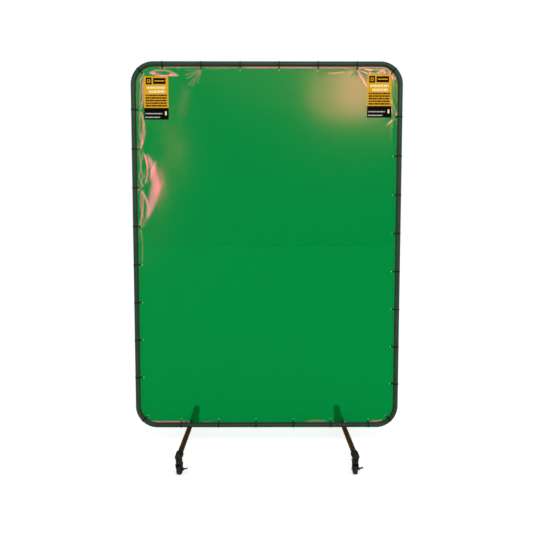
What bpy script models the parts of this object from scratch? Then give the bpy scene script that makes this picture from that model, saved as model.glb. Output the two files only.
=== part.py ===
"""Welding curtain screen.

A knock-down frame of steel tube stands on two cross legs with castors, and a green film
curtain is tied into it with cable ties.  Lengths are in metres and +Z is up.  The floor is
Z = 0, the frame's plane is Y = 0 and the front faces -Y.
"""

from math import acos, cos, pi, radians, sin, sqrt

import bmesh
import bpy
from mathutils import Matrix, Vector

# Driving dimensions -------------------------------------------------------------------
FRAME_WIDTH = 1.350           # over the outside of the uprights
FRAME_HEIGHT = 1.850          # over the outside of the top and bottom tubes
TUBE_DIAMETER = 0.025
TUBE_WALL = 0.0012
CORNER_RADIUS = 0.100         # to the tube's centre line
UPPER_BOW_STRAIGHT = 0.0875   # from the bend down to the joint in each upright
LOWER_BOW_STRAIGHT = 0.0375   # from the bend up to the joint in each upright
SPIGOT_BEND_CLEARANCE = 0.0025

CURTAIN_THICKNESS = 0.0004
EYELET_INSET = 0.018          # inside of the tube to the eyelet's centre
EYELET_RADIUS = 0.004
# Each side's eyelets: how many, and how far the first and the last lie from the corner of
# the eyelets' rectangle.  The rows run round the curtain from the top right corner.
EYELET_ROWS = {"top": (6, 0.185, 0.114), "left": (8, 0.193, 0.220), "bottom": (6, 0.190, 0.109),
               "right": (8, 0.185, 0.228)}

TIE_WIDTH = 0.0048
TIE_THICKNESS = 0.0013
TIE_NOSE_RADIUS = 0.0012      # inside of the bend that goes through the eyelet
TIE_HEAD_LENGTH = 0.0080
TIE_HEAD_DEPTH = 0.0045
TIE_HEAD_WIDTH = 0.0075

LEG_INSET = 0.271             # outside of the frame to a leg's centre line
LEG_REACH = 0.350             # frame plane to a castor's swivel axis
LEG_BOLT_DIAMETER = 0.008
BOLT_HEAD_FLATS = 0.013
BOLT_HEAD_HEIGHT = 0.0053
BOLT_NUT_HEIGHT = 0.0065
BOLT_END_LENGTH = 0.0060      # thread that stands out of the nut

ELBOW_WALL = 0.0037           # round the leg's end
ELBOW_DROP = 0.0225           # leg's centre line to the top of the castor
ELBOW_LENGTH = 0.040          # swivel axis to the mouth that takes the leg
ELBOW_BOSS_RADIUS = 0.0125    # at the castor end
ELBOW_STEM_WALL = 0.0035      # between the leg's end and the castor's stem
ELBOW_STEM_COVER = 0.0100     # above the castor's stem

WHEEL_DIAMETER = 0.050
WHEEL_WIDTH = 0.020
WHEEL_SHOULDER = 0.0040
CASTOR_TRAIL = 0.015
FORK_PLATE = 0.0020
FORK_SIDE_GAP = 0.0010        # between the wheel and a fork side
FORK_TOP_GAP = 0.0030         # between the wheel and the crown
FORK_HEAD_RADIUS = 0.0130
FORK_HEAD_HEIGHT = 0.0097
FORK_AXLE_BOSS = 0.0080
STEM_DIAMETER = 0.010
AXLE_DIAMETER = 0.006
AXLE_HEAD_RADIUS = 0.0050
AXLE_HEAD_HEIGHT = 0.0030

BRAKE_CAM_RADIUS = 0.0050
BRAKE_CAM_WIDTH = 0.0120
BRAKE_PIN_RADIUS = 0.0012
BRAKE_PEDAL_LENGTH = 0.0200   # pivot to the pedal's tip
BRAKE_PEDAL_WIDTH = 0.0140
BRAKE_PEDAL_THICKNESS = 0.0020
BRAKE_OFF_TILT = radians(15)

# How far each castor is turned about its stem, from trailing towards +Y at the front and
# towards -Y at the rear.
CASTOR_TURNS = {"front_left": radians(-8), "front_right": 0.0, "rear_left": 0.0, "rear_right": 0.0}

GAP = 0.0003                  # between neighbouring pieces
TUBE_CURVE_RESOLUTION = 6
CORNER_STEPS = 6
TUBE_SIDES = 16
SMALL_SIDES = 12
WHEEL_SIDES = 28
EYELET_SIDES = 8
TIE_ARC_STEPS = 10
TIE_NOSE_STEPS = 3
CUT_MARGIN = 0.002            # how far a cutter runs past what it cuts
MERGE_DISTANCE = 0.00001

# Worked out from the above ------------------------------------------------------------
TUBE_RADIUS = TUBE_DIAMETER / 2
ELBOW_RADIUS = TUBE_RADIUS + GAP + ELBOW_WALL
WHEEL_RADIUS = WHEEL_DIAMETER / 2
CROWN_BASE_Z = WHEEL_DIAMETER + FORK_TOP_GAP
CROWN_TOP_Z = CROWN_BASE_Z + FORK_PLATE
CASTOR_HEIGHT = CROWN_TOP_Z + FORK_HEAD_HEIGHT
LEG_Z = CASTOR_HEIGHT + ELBOW_DROP
FRAME_HALF_X = FRAME_WIDTH / 2 - TUBE_RADIUS
FRAME_LOW_Z = LEG_Z + TUBE_DIAMETER + GAP
FRAME_HIGH_Z = FRAME_LOW_Z + FRAME_HEIGHT - TUBE_DIAMETER
UPPER_BEND_Z = FRAME_HIGH_Z - CORNER_RADIUS
LOWER_BEND_Z = FRAME_LOW_Z + CORNER_RADIUS
UPPER_JOINT_Z = UPPER_BEND_Z - UPPER_BOW_STRAIGHT
LOWER_JOINT_Z = LOWER_BEND_Z + LOWER_BOW_STRAIGHT
LEG_X = FRAME_WIDTH / 2 - LEG_INSET
BOLT_HOLE_RADIUS = LEG_BOLT_DIAMETER / 2 + GAP
NUT_CORNER_RADIUS = BOLT_HEAD_FLATS / sqrt(3)
NUT_BASE_Z = FRAME_LOW_Z + TUBE_RADIUS + GAP
BOLT_TOP_Z = NUT_BASE_Z + BOLT_NUT_HEIGHT + BOLT_END_LENGTH
FORK_INSIDE = WHEEL_WIDTH / 2 + FORK_SIDE_GAP
FORK_OUTSIDE = FORK_INSIDE + FORK_PLATE
STEM_RADIUS = STEM_DIAMETER / 2
STEM_TOP_Z = LEG_Z + ELBOW_RADIUS - ELBOW_STEM_COVER
AXLE_RADIUS = AXLE_DIAMETER / 2
BRAKE_PIVOT_X = FORK_OUTSIDE + GAP + BRAKE_CAM_RADIUS
ACROSS_Y = Matrix.Rotation(radians(-90), 4, "X")   # turns a piece built along Z to lie along +Y
ACROSS_X = Matrix.Rotation(radians(90), 4, "Y")    # turns a piece built along Z to lie along +X


# Scene and modelling helpers ------------------------------------------------------------
def clear_scene():
    """Remove every object that the scene starts with."""
    for old in list(bpy.data.objects):
        bpy.data.objects.remove(old, do_unlink=True)


def make_collection(name):
    """Add a collection to the scene."""
    collection = bpy.data.collections.new(name)
    bpy.context.scene.collection.children.link(collection)
    return collection


def make_material(name, colour, roughness, metallic, alpha=1.0):
    """Make a plain Principled material."""
    material = bpy.data.materials.new(name)
    material.use_nodes = True
    shader = material.node_tree.nodes["Principled BSDF"]
    shader.inputs["Base Color"].default_value = (*colour, 1.0)
    shader.inputs["Roughness"].default_value = roughness
    shader.inputs["Metallic"].default_value = metallic
    shader.inputs["Alpha"].default_value = alpha
    return material


def smooth(mesh):
    """Shade a mesh smooth, and keep its sharp edges."""
    mesh.shade_smooth()
    mesh.set_sharp_from_angle(angle=radians(35))


def make_object(name, data, collection, matrix=Matrix.Identity(4), parent=None):
    """Put a mesh or a curve, or no data for an empty, in a collection as an object."""
    made = bpy.data.objects.new(name, data)
    collection.objects.link(made)
    made.parent = parent
    made.matrix_basis = matrix
    return made


def make_part(name, mesh, material, matrix=Matrix.Identity(4), parent=None):
    """Make one sub-part from a mesh, shaded and painted, under a parent if it has one."""
    if not mesh.materials:
        mesh.materials.append(material)
        smooth(mesh)
    return make_object(name, mesh, PARTS, matrix, parent)


def take_mesh(source):
    """Read an object's evaluated mesh with its matrix, and remove the object."""
    bpy.context.view_layer.update()
    graph = bpy.context.evaluated_depsgraph_get()
    mesh = bpy.data.meshes.new_from_object(source.evaluated_get(graph))
    mesh.transform(source.matrix_world)
    bpy.data.objects.remove(source, do_unlink=True)
    return mesh


def weld(mesh):
    """Join a mesh's doubled vertices and turn its faces outwards."""
    body = bmesh.new()
    body.from_mesh(mesh)
    bmesh.ops.remove_doubles(body, verts=body.verts, dist=MERGE_DISTANCE)
    bmesh.ops.recalc_face_normals(body, faces=body.faces)
    body.to_mesh(mesh)
    body.free()
    return mesh


def rod_mesh(radius, start, end, sides=SMALL_SIDES, end_radius=None):
    """Make a capped cylinder or cone along Z between two heights."""
    mesh = bpy.data.meshes.new("rod")
    body = bmesh.new()
    far_radius = radius if end_radius is None else end_radius
    bmesh.ops.create_cone(body, cap_ends=True, segments=sides, radius1=radius, radius2=far_radius,
                          depth=end - start, matrix=Matrix.Translation((0, 0, (start + end) / 2)))
    body.to_mesh(mesh)
    body.free()
    return mesh


def block_mesh(low, high):
    """Make a box between two corners."""
    mesh = bpy.data.meshes.new("block")
    body = bmesh.new()
    size = Vector(high) - Vector(low)
    middle = (Vector(high) + Vector(low)) / 2
    bmesh.ops.create_cube(body, size=1.0, matrix=Matrix.Translation(middle) @ Matrix.Diagonal((*size, 1.0)))
    body.to_mesh(mesh)
    body.free()
    return mesh


def turned_mesh(profile, sides, closed=False):
    """Turn a profile of (radius, height) points, which runs down its outer side, about Z."""
    mesh = bpy.data.meshes.new("profile")
    edges = [(index, index + 1) for index in range(len(profile) - 1)]
    if closed:
        edges.append((len(profile) - 1, 0))
    mesh.from_pydata([(radius, 0.0, height) for radius, height in profile], edges, [])
    turning = make_object("turning", mesh, PARTS)
    screw = turning.modifiers.new("turn", "SCREW")
    screw.steps = sides
    screw.render_steps = sides
    screw.use_merge_vertices = True
    screw.merge_threshold = MERGE_DISTANCE
    return weld(take_mesh(turning))


def outline_mesh(outlines, thickness):
    """Fill flat outlines of (x, y) points, the first with the others as holes, to a plate."""
    curve = bpy.data.curves.new("outline", "CURVE")
    curve.dimensions = "2D"
    curve.fill_mode = "BOTH"
    curve.extrude = thickness / 2
    for outline in outlines:
        spline = curve.splines.new("POLY")
        spline.points.add(len(outline) - 1)
        spline.use_cyclic_u = True
        for point, (across, up) in zip(spline.points, outline):
            point.co = (across, up, 0.0, 1.0)
    return weld(take_mesh(make_object("outline", curve, PARTS)))


def swept_mesh(points, radius):
    """Sweep an open tube skin along a line of points."""
    curve = bpy.data.curves.new("sweep", "CURVE")
    curve.dimensions = "3D"
    curve.bevel_depth = radius
    curve.bevel_resolution = TUBE_CURVE_RESOLUTION
    spline = curve.splines.new("POLY")
    spline.points.add(len(points) - 1)
    for point, place in zip(spline.points, points):
        point.co = (*place, 1.0)
    return weld(take_mesh(make_object("sweep", curve, PARTS)))


def combine(base, tools, operation):
    """Join tool meshes to a base mesh, or cut them from it, one after another."""
    for tool in tools:
        base_object = make_object("base", base, PARTS)
        tool_object = make_object("tool", tool, CUTTERS)
        boolean = base_object.modifiers.new("combine", "BOOLEAN")
        boolean.operation = operation
        boolean.object = tool_object
        base = take_mesh(base_object)
        bpy.data.objects.remove(tool_object, do_unlink=True)
    return weld(base)


def moved(mesh, matrix):
    """Move a mesh's own points, and hand it back."""
    mesh.transform(matrix)
    return mesh


def add_cutter(name, mesh, targets):
    """Cut a mesh out of the target objects with modifiers that stay live."""
    cutter = make_object(name, mesh, CUTTERS)
    cutter.hide_render = True
    cutter.display_type = "WIRE"
    for target in targets:
        boolean = target.modifiers.new(name, "BOOLEAN")
        boolean.operation = "DIFFERENCE"
        boolean.object = cutter


def arc(centre, radius, start, end, steps):
    """List the points of an arc in a plane, from one angle to another."""
    angles = [start + (end - start) * step / steps for step in range(steps + 1)]
    return [(centre[0] + radius * cos(angle), centre[1] + radius * sin(angle)) for angle in angles]


# Frame ----------------------------------------------------------------------------------
def make_bow(name, joint_z, bend_z, end_z, material):
    """Bend a tube from one upright's joint, round two corners, to the other upright's joint."""
    side = 1 if end_z > joint_z else -1
    centre_x = FRAME_HALF_X - CORNER_RADIUS
    left = arc((-centre_x, bend_z), CORNER_RADIUS, pi, pi - side * pi / 2, CORNER_STEPS)
    right = arc((centre_x, bend_z), CORNER_RADIUS, side * pi / 2, 0.0, CORNER_STEPS)
    outline = [(-FRAME_HALF_X, joint_z), *left, *right, (FRAME_HALF_X, joint_z)]
    bow = make_part(name, swept_mesh([(x, 0.0, z) for x, z in outline], TUBE_RADIUS), material)
    wall = bow.modifiers.new("wall", "SOLIDIFY")
    wall.thickness = TUBE_WALL
    wall.offset = -1.0
    return bow


def make_upright(name, x, material):
    """Turn a straight tube whose two ends are swaged down to plug into the bows."""
    spigot = TUBE_RADIUS - TUBE_WALL - GAP
    low_end = LOWER_BEND_Z + SPIGOT_BEND_CLEARANCE
    high_end = UPPER_BEND_Z - SPIGOT_BEND_CLEARANCE
    outside = [(spigot, high_end), (spigot, UPPER_JOINT_Z), (TUBE_RADIUS, UPPER_JOINT_Z),
               (TUBE_RADIUS, LOWER_JOINT_Z), (spigot, LOWER_JOINT_Z), (spigot, low_end)]
    inside = [(spigot - TUBE_WALL, low_end), (spigot - TUBE_WALL, LOWER_JOINT_Z + TUBE_WALL),
              (TUBE_RADIUS - TUBE_WALL, LOWER_JOINT_Z + TUBE_WALL),
              (TUBE_RADIUS - TUBE_WALL, UPPER_JOINT_Z - TUBE_WALL),
              (spigot - TUBE_WALL, UPPER_JOINT_Z - TUBE_WALL), (spigot - TUBE_WALL, high_end)]
    mesh = turned_mesh(outside + inside, TUBE_SIDES, closed=True)
    return make_part(name, mesh, material, Matrix.Translation((x, 0, 0)))


def make_frame(material):
    """Make the two bows and the two uprights, and return the lower bow."""
    make_bow("upper_bow", UPPER_JOINT_Z + GAP, UPPER_BEND_Z, FRAME_HIGH_Z, material)
    make_upright("left_upright", -FRAME_HALF_X, material)
    make_upright("right_upright", FRAME_HALF_X, material)
    return make_bow("lower_bow", LOWER_JOINT_Z - GAP, LOWER_BEND_Z, FRAME_LOW_Z, material)


# Curtain and its ties ---------------------------------------------------------------------
def tie_places():
    """List each tie's name, its place on the tube's centre line and its direction inwards."""
    row_x = FRAME_HALF_X - TUBE_RADIUS - EYELET_INSET
    row_low_z = FRAME_LOW_Z + TUBE_RADIUS + EYELET_INSET
    row_high_z = FRAME_HIGH_Z - TUBE_RADIUS - EYELET_INSET
    rows = {"top": ((row_x, FRAME_HIGH_Z), (-row_x, FRAME_HIGH_Z)),
            "left": ((-FRAME_HALF_X, row_high_z), (-FRAME_HALF_X, row_low_z)),
            "bottom": ((-row_x, FRAME_LOW_Z), (row_x, FRAME_LOW_Z)),
            "right": ((FRAME_HALF_X, row_low_z), (FRAME_HALF_X, row_high_z))}
    places = []
    for side, ends in rows.items():
        start, end = map(Vector, ends)
        run = (end - start).normalized()
        count, first, last = EYELET_ROWS[side]
        pitch = ((end - start).length - first - last) / (count - 1)
        for index in range(count):
            place = start + run * (first + index * pitch)
            places.append((f"tie_{side}_{index + 1}", place, Vector((-run.y, run.x))))
    corner_x = FRAME_HALF_X - CORNER_RADIUS
    for level, z, up in (("top", UPPER_BEND_Z, 1), ("bottom", LOWER_BEND_Z, -1)):
        for side, across in (("left", -1), ("right", 1)):
            outwards = Vector((across, up)).normalized()
            place = Vector((across * corner_x, z)) + outwards * CORNER_RADIUS
            places.append((f"tie_corner_{level}_{side}", place, -outwards))
    return places


def curtain_outline():
    """List the curtain's edge, with round corners and a relief over each leg bolt's nut."""
    half_x = FRAME_HALF_X - TUBE_RADIUS - GAP
    low = FRAME_LOW_Z + TUBE_RADIUS + GAP
    high = FRAME_HIGH_Z - TUBE_RADIUS - GAP
    radius = CORNER_RADIUS - TUBE_RADIUS - GAP
    relief_half = NUT_CORNER_RADIUS + CUT_MARGIN
    relief_z = BOLT_TOP_Z + CUT_MARGIN
    edge = []
    for centre_x in (-LEG_X, LEG_X):
        edge += [(centre_x - relief_half, low), (centre_x - relief_half, relief_z),
                 (centre_x + relief_half, relief_z), (centre_x + relief_half, low)]
    corners = ((1, low, 1, -90), (1, high, -1, 0), (-1, high, -1, 90), (-1, low, 1, 180))
    for side, z, inwards, start in corners:
        centre = (side * (half_x - radius), z + inwards * radius)
        edge += arc(centre, radius, radians(start), radians(start + 90), CORNER_STEPS)
    return edge


def make_curtain(material):
    """Fill the curtain's outline, with a round eyelet for each tie, and stand it up."""
    reach = TUBE_RADIUS + EYELET_INSET
    outlines = [curtain_outline()]
    for _, place, inwards in tie_places():
        outlines.append(arc(place + inwards * reach, EYELET_RADIUS, 0.0, 2 * pi, EYELET_SIDES)[:-1])
    mesh = moved(outline_mesh(outlines, CURTAIN_THICKNESS), Matrix.Rotation(radians(90), 4, "X"))
    return make_part("curtain", mesh, material)


def tie_outline(big_radius, nose_distance, nose_radius):
    """List a loop that narrows to a round nose in the eyelet, with its flats clear of the tube."""
    lean = acos((big_radius - nose_radius) / nose_distance)
    corner_radius = big_radius / cos((pi - lean) / TIE_ARC_STEPS)
    around = arc((0.0, 0.0), corner_radius, lean, 2 * pi - lean, TIE_ARC_STEPS)
    nose = arc((nose_distance, 0.0), nose_radius, -lean, lean, TIE_NOSE_STEPS)
    return around + nose


def tie_mesh():
    """Make one closed tie about the tube's centre, with +X pointing in at the eyelet."""
    room = TIE_WIDTH / 2 + GAP
    seat = TUBE_RADIUS + EYELET_INSET - sqrt(EYELET_RADIUS ** 2 - room ** 2)
    nose_distance = seat + GAP - TIE_NOSE_RADIUS
    inner_radius = TUBE_RADIUS + GAP
    outside = tie_outline(inner_radius + TIE_THICKNESS, nose_distance, TIE_NOSE_RADIUS + TIE_THICKNESS)
    inside = tie_outline(inner_radius, nose_distance, TIE_NOSE_RADIUS)
    loop = outline_mesh([outside, inside], TIE_WIDTH)
    head_foot = inner_radius + TIE_THICKNESS / 2
    head = block_mesh((-TIE_HEAD_LENGTH / 2, head_foot, -TIE_HEAD_WIDTH / 2),
                      (TIE_HEAD_LENGTH / 2, head_foot + TIE_HEAD_DEPTH, TIE_HEAD_WIDTH / 2))
    return combine(loop, [head], "UNION")


def make_ties(material):
    """Place one tie round the tube at each eyelet, with its head at the back."""
    mesh = tie_mesh()
    for name, place, inwards in tie_places():
        across = Vector((inwards.x, 0.0, inwards.y))
        back = Vector((0.0, 1.0, 0.0))
        turn = Matrix((across, back, across.cross(back))).transposed().to_4x4()
        make_part(name, mesh, material, Matrix.Translation((place.x, 0.0, place.y)) @ turn)


# Legs -----------------------------------------------------------------------------------------
def bolt_mesh():
    """Make a leg bolt with its head under the leg and its nut on the frame, about Z."""
    head_top = LEG_Z - TUBE_RADIUS - GAP
    head = rod_mesh(NUT_CORNER_RADIUS, head_top - BOLT_HEAD_HEIGHT, head_top, sides=6)
    nut = rod_mesh(NUT_CORNER_RADIUS, NUT_BASE_Z, NUT_BASE_Z + BOLT_NUT_HEIGHT, sides=6)
    shank = rod_mesh(LEG_BOLT_DIAMETER / 2, head_top - BOLT_HEAD_HEIGHT / 2, BOLT_TOP_Z)
    return combine(shank, [head, nut], "UNION")


def leg_mesh():
    """Turn a plain tube along Y that ends inside the two elbows."""
    half = LEG_REACH - STEM_RADIUS - GAP - ELBOW_STEM_WALL - GAP
    profile = [(TUBE_RADIUS, half), (TUBE_RADIUS, -half),
               (TUBE_RADIUS - TUBE_WALL, -half), (TUBE_RADIUS - TUBE_WALL, half)]
    return moved(turned_mesh(profile, TUBE_SIDES, closed=True), ACROSS_Y)


def elbow_mesh():
    """Make a socket that opens to +Y for the leg and downwards for the castor's stem."""
    round_end = arc((0.0, 0.0), ELBOW_RADIUS, 0.0, -pi / 2, TUBE_SIDES // 4)
    barrel_profile = [(0.0, ELBOW_LENGTH), (ELBOW_RADIUS, ELBOW_LENGTH), *round_end[:-1], (0.0, -ELBOW_RADIUS)]
    barrel = moved(turned_mesh(barrel_profile, TUBE_SIDES), ACROSS_Y)
    boss_foot = CASTOR_HEIGHT + GAP - LEG_Z
    boss = rod_mesh(ELBOW_BOSS_RADIUS, boss_foot, 0.0, TUBE_SIDES, ELBOW_RADIUS - GAP)
    tube_stop = STEM_RADIUS + GAP + ELBOW_STEM_WALL
    tube_hole = rod_mesh(TUBE_RADIUS + GAP, tube_stop, ELBOW_LENGTH + CUT_MARGIN, TUBE_SIDES)
    stem_bore = rod_mesh(STEM_RADIUS + GAP, boss_foot - CUT_MARGIN, STEM_TOP_Z + GAP - LEG_Z)
    return combine(combine(barrel, [boss], "UNION"), [moved(tube_hole, ACROSS_Y), stem_bore], "DIFFERENCE")


def make_legs(lower_bow, leg_paint, elbow_paint, zinc):
    """Bolt a cross leg with two elbows under the frame on each side, and return the elbows' places."""
    shared_bolt = bolt_mesh()
    shared_elbow = elbow_mesh()
    corners = {}
    for side, x in (("left", -LEG_X), ("right", LEG_X)):
        pivot = make_object(f"{side}_leg_pivot", None, PARTS, Matrix.Translation((x, 0.0, LEG_Z)))
        leg = make_part(f"{side}_leg", leg_mesh(), leg_paint, parent=pivot)
        make_part(f"{side}_leg_bolt", shared_bolt, zinc, Matrix.Translation((x, 0.0, 0.0)))
        hole = moved(rod_mesh(BOLT_HOLE_RADIUS, LEG_Z - TUBE_DIAMETER, FRAME_LOW_Z + TUBE_DIAMETER),
                     Matrix.Translation((x, 0.0, 0.0)))
        add_cutter(f"{side}_bolt_hole", hole, [lower_bow, leg])
        for end, y, turn in (("front", -LEG_REACH, 0.0), ("rear", LEG_REACH, pi)):
            place = Matrix.Translation((0.0, y, 0.0)) @ Matrix.Rotation(turn, 4, "Z")
            make_part(f"{end}_{side}_elbow", shared_elbow, elbow_paint, place, pivot)
            corners[f"{end}_{side}"] = (pivot, y, turn)
    return corners


# Castors ---------------------------------------------------------------------------------------
def side_plate_mesh(x):
    """Make a fork side in the YZ plane, from the crown down to a round end at the axle."""
    crown_front = -FORK_HEAD_RADIUS
    crown_rear = CASTOR_TRAIL + FORK_HEAD_RADIUS
    foot = arc((CASTOR_TRAIL, WHEEL_RADIUS), FORK_AXLE_BOSS, 0.0, -pi, SMALL_SIDES // 2)
    outline = [(crown_rear, CROWN_TOP_Z), *foot, (crown_front, CROWN_BASE_Z), (crown_front, CROWN_TOP_Z)]
    upright = Matrix.Rotation(radians(90), 4, "Z") @ Matrix.Rotation(radians(90), 4, "X")
    return moved(outline_mesh([outline], FORK_PLATE), Matrix.Translation((x, 0.0, 0.0)) @ upright)


def fork_mesh():
    """Make a fork about its stem, trailing towards +Y, with the floor at Z = 0."""
    crown = block_mesh((-FORK_INSIDE - GAP, GAP - FORK_HEAD_RADIUS, CROWN_BASE_Z),
                       (FORK_INSIDE + GAP, CASTOR_TRAIL + FORK_HEAD_RADIUS - GAP, CROWN_TOP_Z - GAP))
    plates = [side_plate_mesh(sign * (FORK_INSIDE + FORK_PLATE / 2)) for sign in (-1, 1)]
    head = rod_mesh(FORK_HEAD_RADIUS, CROWN_BASE_Z + FORK_PLATE / 2, CASTOR_HEIGHT, TUBE_SIDES,
                    ELBOW_BOSS_RADIUS - GAP)
    stem = rod_mesh(STEM_RADIUS, CASTOR_HEIGHT - FORK_PLATE, STEM_TOP_Z)
    fork = combine(crown, [*plates, head, stem], "UNION")
    hole = moved(rod_mesh(AXLE_RADIUS + GAP, -FORK_OUTSIDE - CUT_MARGIN, FORK_OUTSIDE + CUT_MARGIN), ACROSS_X)
    return combine(fork, [moved(hole, Matrix.Translation((0.0, CASTOR_TRAIL, WHEEL_RADIUS)))], "DIFFERENCE")


def wheel_mesh():
    """Turn a wheel about X whose flats, not its corners, lie on the floor."""
    half = WHEEL_WIDTH / 2
    rim = WHEEL_RADIUS / cos(pi / WHEEL_SIDES)
    upper = [(AXLE_RADIUS + GAP, half), (rim - WHEEL_SHOULDER, half), (rim, half - WHEEL_SHOULDER)]
    profile = upper + [(radius, -height) for radius, height in reversed(upper)]
    half_step = Matrix.Rotation(pi / WHEEL_SIDES, 4, "Z")
    return moved(turned_mesh(profile, WHEEL_SIDES, closed=True), ACROSS_X @ half_step)


def axle_mesh(braked):
    """Turn an axle about X, with a head at both ends or with one end made to hold a brake lever."""
    head_start = FORK_OUTSIDE + GAP
    shank = rod_mesh(AXLE_RADIUS, -head_start - AXLE_HEAD_HEIGHT / 2, head_start + AXLE_HEAD_HEIGHT / 2)
    left_head = rod_mesh(AXLE_HEAD_RADIUS, -head_start - AXLE_HEAD_HEIGHT, -head_start)
    if not braked:
        right_head = rod_mesh(AXLE_HEAD_RADIUS, head_start, head_start + AXLE_HEAD_HEIGHT)
        return moved(combine(shank, [left_head, right_head], "UNION"), ACROSS_X)
    eye = rod_mesh(AXLE_RADIUS - GAP, head_start, BRAKE_PIVOT_X + AXLE_RADIUS - 2 * GAP)
    axle = moved(combine(shank, [left_head, eye], "UNION"), ACROSS_X)
    cross = moved(rod_mesh(BRAKE_PIN_RADIUS + GAP, -BRAKE_CAM_WIDTH, BRAKE_CAM_WIDTH), ACROSS_Y)
    return combine(axle, [moved(cross, Matrix.Translation((BRAKE_PIVOT_X, 0.0, 0.0)))], "DIFFERENCE")


def brake_mesh():
    """Make a brake lever about its pivot, with two cam cheeks, a pin and a pedal towards +X."""
    slot_half = AXLE_RADIUS + GAP
    slot_end = AXLE_RADIUS + 2 * GAP
    half_width = BRAKE_CAM_WIDTH / 2
    cam = moved(rod_mesh(BRAKE_CAM_RADIUS, -half_width, half_width), ACROSS_Y)
    pedal = block_mesh((slot_end / 2, -BRAKE_PEDAL_WIDTH / 2, -BRAKE_PEDAL_THICKNESS / 2),
                       (BRAKE_PEDAL_LENGTH, BRAKE_PEDAL_WIDTH / 2, BRAKE_PEDAL_THICKNESS / 2))
    tilt = Matrix.Rotation(-BRAKE_OFF_TILT, 4, "Y")
    slot = block_mesh((-2 * BRAKE_CAM_RADIUS, -slot_half, -2 * BRAKE_CAM_RADIUS),
                      (slot_end, slot_half, 2 * BRAKE_CAM_RADIUS))
    lever = combine(combine(cam, [moved(pedal, tilt)], "UNION"), [moved(slot, tilt)], "DIFFERENCE")
    pin = moved(rod_mesh(BRAKE_PIN_RADIUS, GAP - half_width, half_width - GAP), ACROSS_Y)
    return combine(lever, [pin], "UNION")


def make_castors(corners, zinc, tread, steel):
    """Hang a castor under each elbow; the two at the front have a brake."""
    shared_fork = fork_mesh()
    shared_wheel = wheel_mesh()
    shared_brake = brake_mesh()
    axles = {"front": axle_mesh(braked=True), "rear": axle_mesh(braked=False)}
    for corner, (pivot, y, turn) in corners.items():
        swivel_turn = Matrix.Rotation(turn + CASTOR_TURNS[corner], 4, "Z")
        swivel_place = Matrix.Translation((0.0, y, -LEG_Z)) @ swivel_turn
        swivel = make_object(f"{corner}_swivel", None, PARTS, swivel_place, pivot)
        hub = Matrix.Translation((0.0, CASTOR_TRAIL, WHEEL_RADIUS))
        end = corner.split("_")[0]
        pieces = [(f"{corner}_fork", shared_fork, zinc, Matrix.Identity(4)),
                  (f"{corner}_axle", axles[end], steel, hub), (f"{corner}_wheel", shared_wheel, tread, hub)]
        if end == "front":
            brake_place = hub @ Matrix.Translation((BRAKE_PIVOT_X, 0.0, 0.0))
            pieces.append((f"{corner}_brake_lever", shared_brake, zinc, brake_place))
        for name, mesh, material, place in pieces:
            make_part(name, mesh, material, place, swivel)


def main():
    """Build the screen."""
    frame_paint = make_material("frame_paint", (0.045, 0.085, 0.060), 0.30, 0.0)
    leg_paint = make_material("leg_paint", (0.045, 0.030, 0.018), 0.40, 0.0)
    elbow_plastic = make_material("elbow_plastic", (0.020, 0.016, 0.016), 0.50, 0.0)
    film = make_material("green_film", (0.0, 0.250, 0.060), 0.15, 0.0, 0.7)
    tie_nylon = make_material("black_nylon", (0.010, 0.008, 0.008), 0.45, 0.0)
    zinc = make_material("zinc", (0.550, 0.540, 0.520), 0.35, 1.0)
    steel = make_material("steel", (0.500, 0.500, 0.500), 0.30, 1.0)
    tread = make_material("wheel_rubber", (0.015, 0.012, 0.012), 0.55, 0.0)
    lower_bow = make_frame(frame_paint)
    make_curtain(film)
    make_ties(tie_nylon)
    corners = make_legs(lower_bow, leg_paint, elbow_plastic, zinc)
    make_castors(corners, zinc, tread, steel)


clear_scene()
PARTS = make_collection("welding_curtain_screen")
CUTTERS = make_collection("cutters")
main()
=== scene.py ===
"""Free-standing welding screen: a green film curtain tied into a round tube frame on castored legs.

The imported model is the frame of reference.  Every size is in metres, with Z up, X across the
curtain and +Y towards the back.
"""
from __future__ import annotations

import logging
import math
import random
from dataclasses import dataclass, field
from enum import Enum
from itertools import pairwise
from typing import Callable, Sequence

import bmesh
import bpy
import numpy as np
from mathutils import Matrix, Vector
from mathutils.geometry import delaunay_2d_cdt

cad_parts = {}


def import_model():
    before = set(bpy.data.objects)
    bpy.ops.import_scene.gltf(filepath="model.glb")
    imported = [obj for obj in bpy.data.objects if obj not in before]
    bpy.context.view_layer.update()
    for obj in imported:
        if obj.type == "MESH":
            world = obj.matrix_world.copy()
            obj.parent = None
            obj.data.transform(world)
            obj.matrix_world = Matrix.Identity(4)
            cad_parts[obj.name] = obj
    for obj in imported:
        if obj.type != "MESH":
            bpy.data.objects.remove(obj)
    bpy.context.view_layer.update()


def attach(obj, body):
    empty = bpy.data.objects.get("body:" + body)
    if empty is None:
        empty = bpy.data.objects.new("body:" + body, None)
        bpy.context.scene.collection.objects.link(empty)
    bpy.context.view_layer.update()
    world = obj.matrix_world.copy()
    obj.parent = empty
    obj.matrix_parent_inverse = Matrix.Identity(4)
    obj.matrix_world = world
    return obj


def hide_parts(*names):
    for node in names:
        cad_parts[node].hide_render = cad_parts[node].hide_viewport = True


LOG = logging.getLogger("welding_screen")
MM = 0.001
GAP = 0.3 * MM  # the clearance between pieces that fit together
TUBE_RADIUS = 12.5 * MM
TUBE_WALL = 1.2 * MM
FRAME_HALF_X = 0.6625
FRAME_LOW_Z = 0.1125
FRAME_HIGH_Z = 1.9375
BEND_RADIUS = 0.100
LEG_X = 0.404
LEG_Z = 0.0872
LEG_REACH = 0.350
EYELET_INSET = 18.0 * MM
EYELET_RADIUS = 4.0 * MM
HOLE_RADIUS = 2.75 * MM  # an eyelet once its tie has drawn it narrow
HOLE_PULL = 2.0 * MM  # how far the tie has drawn it towards the tube
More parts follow.
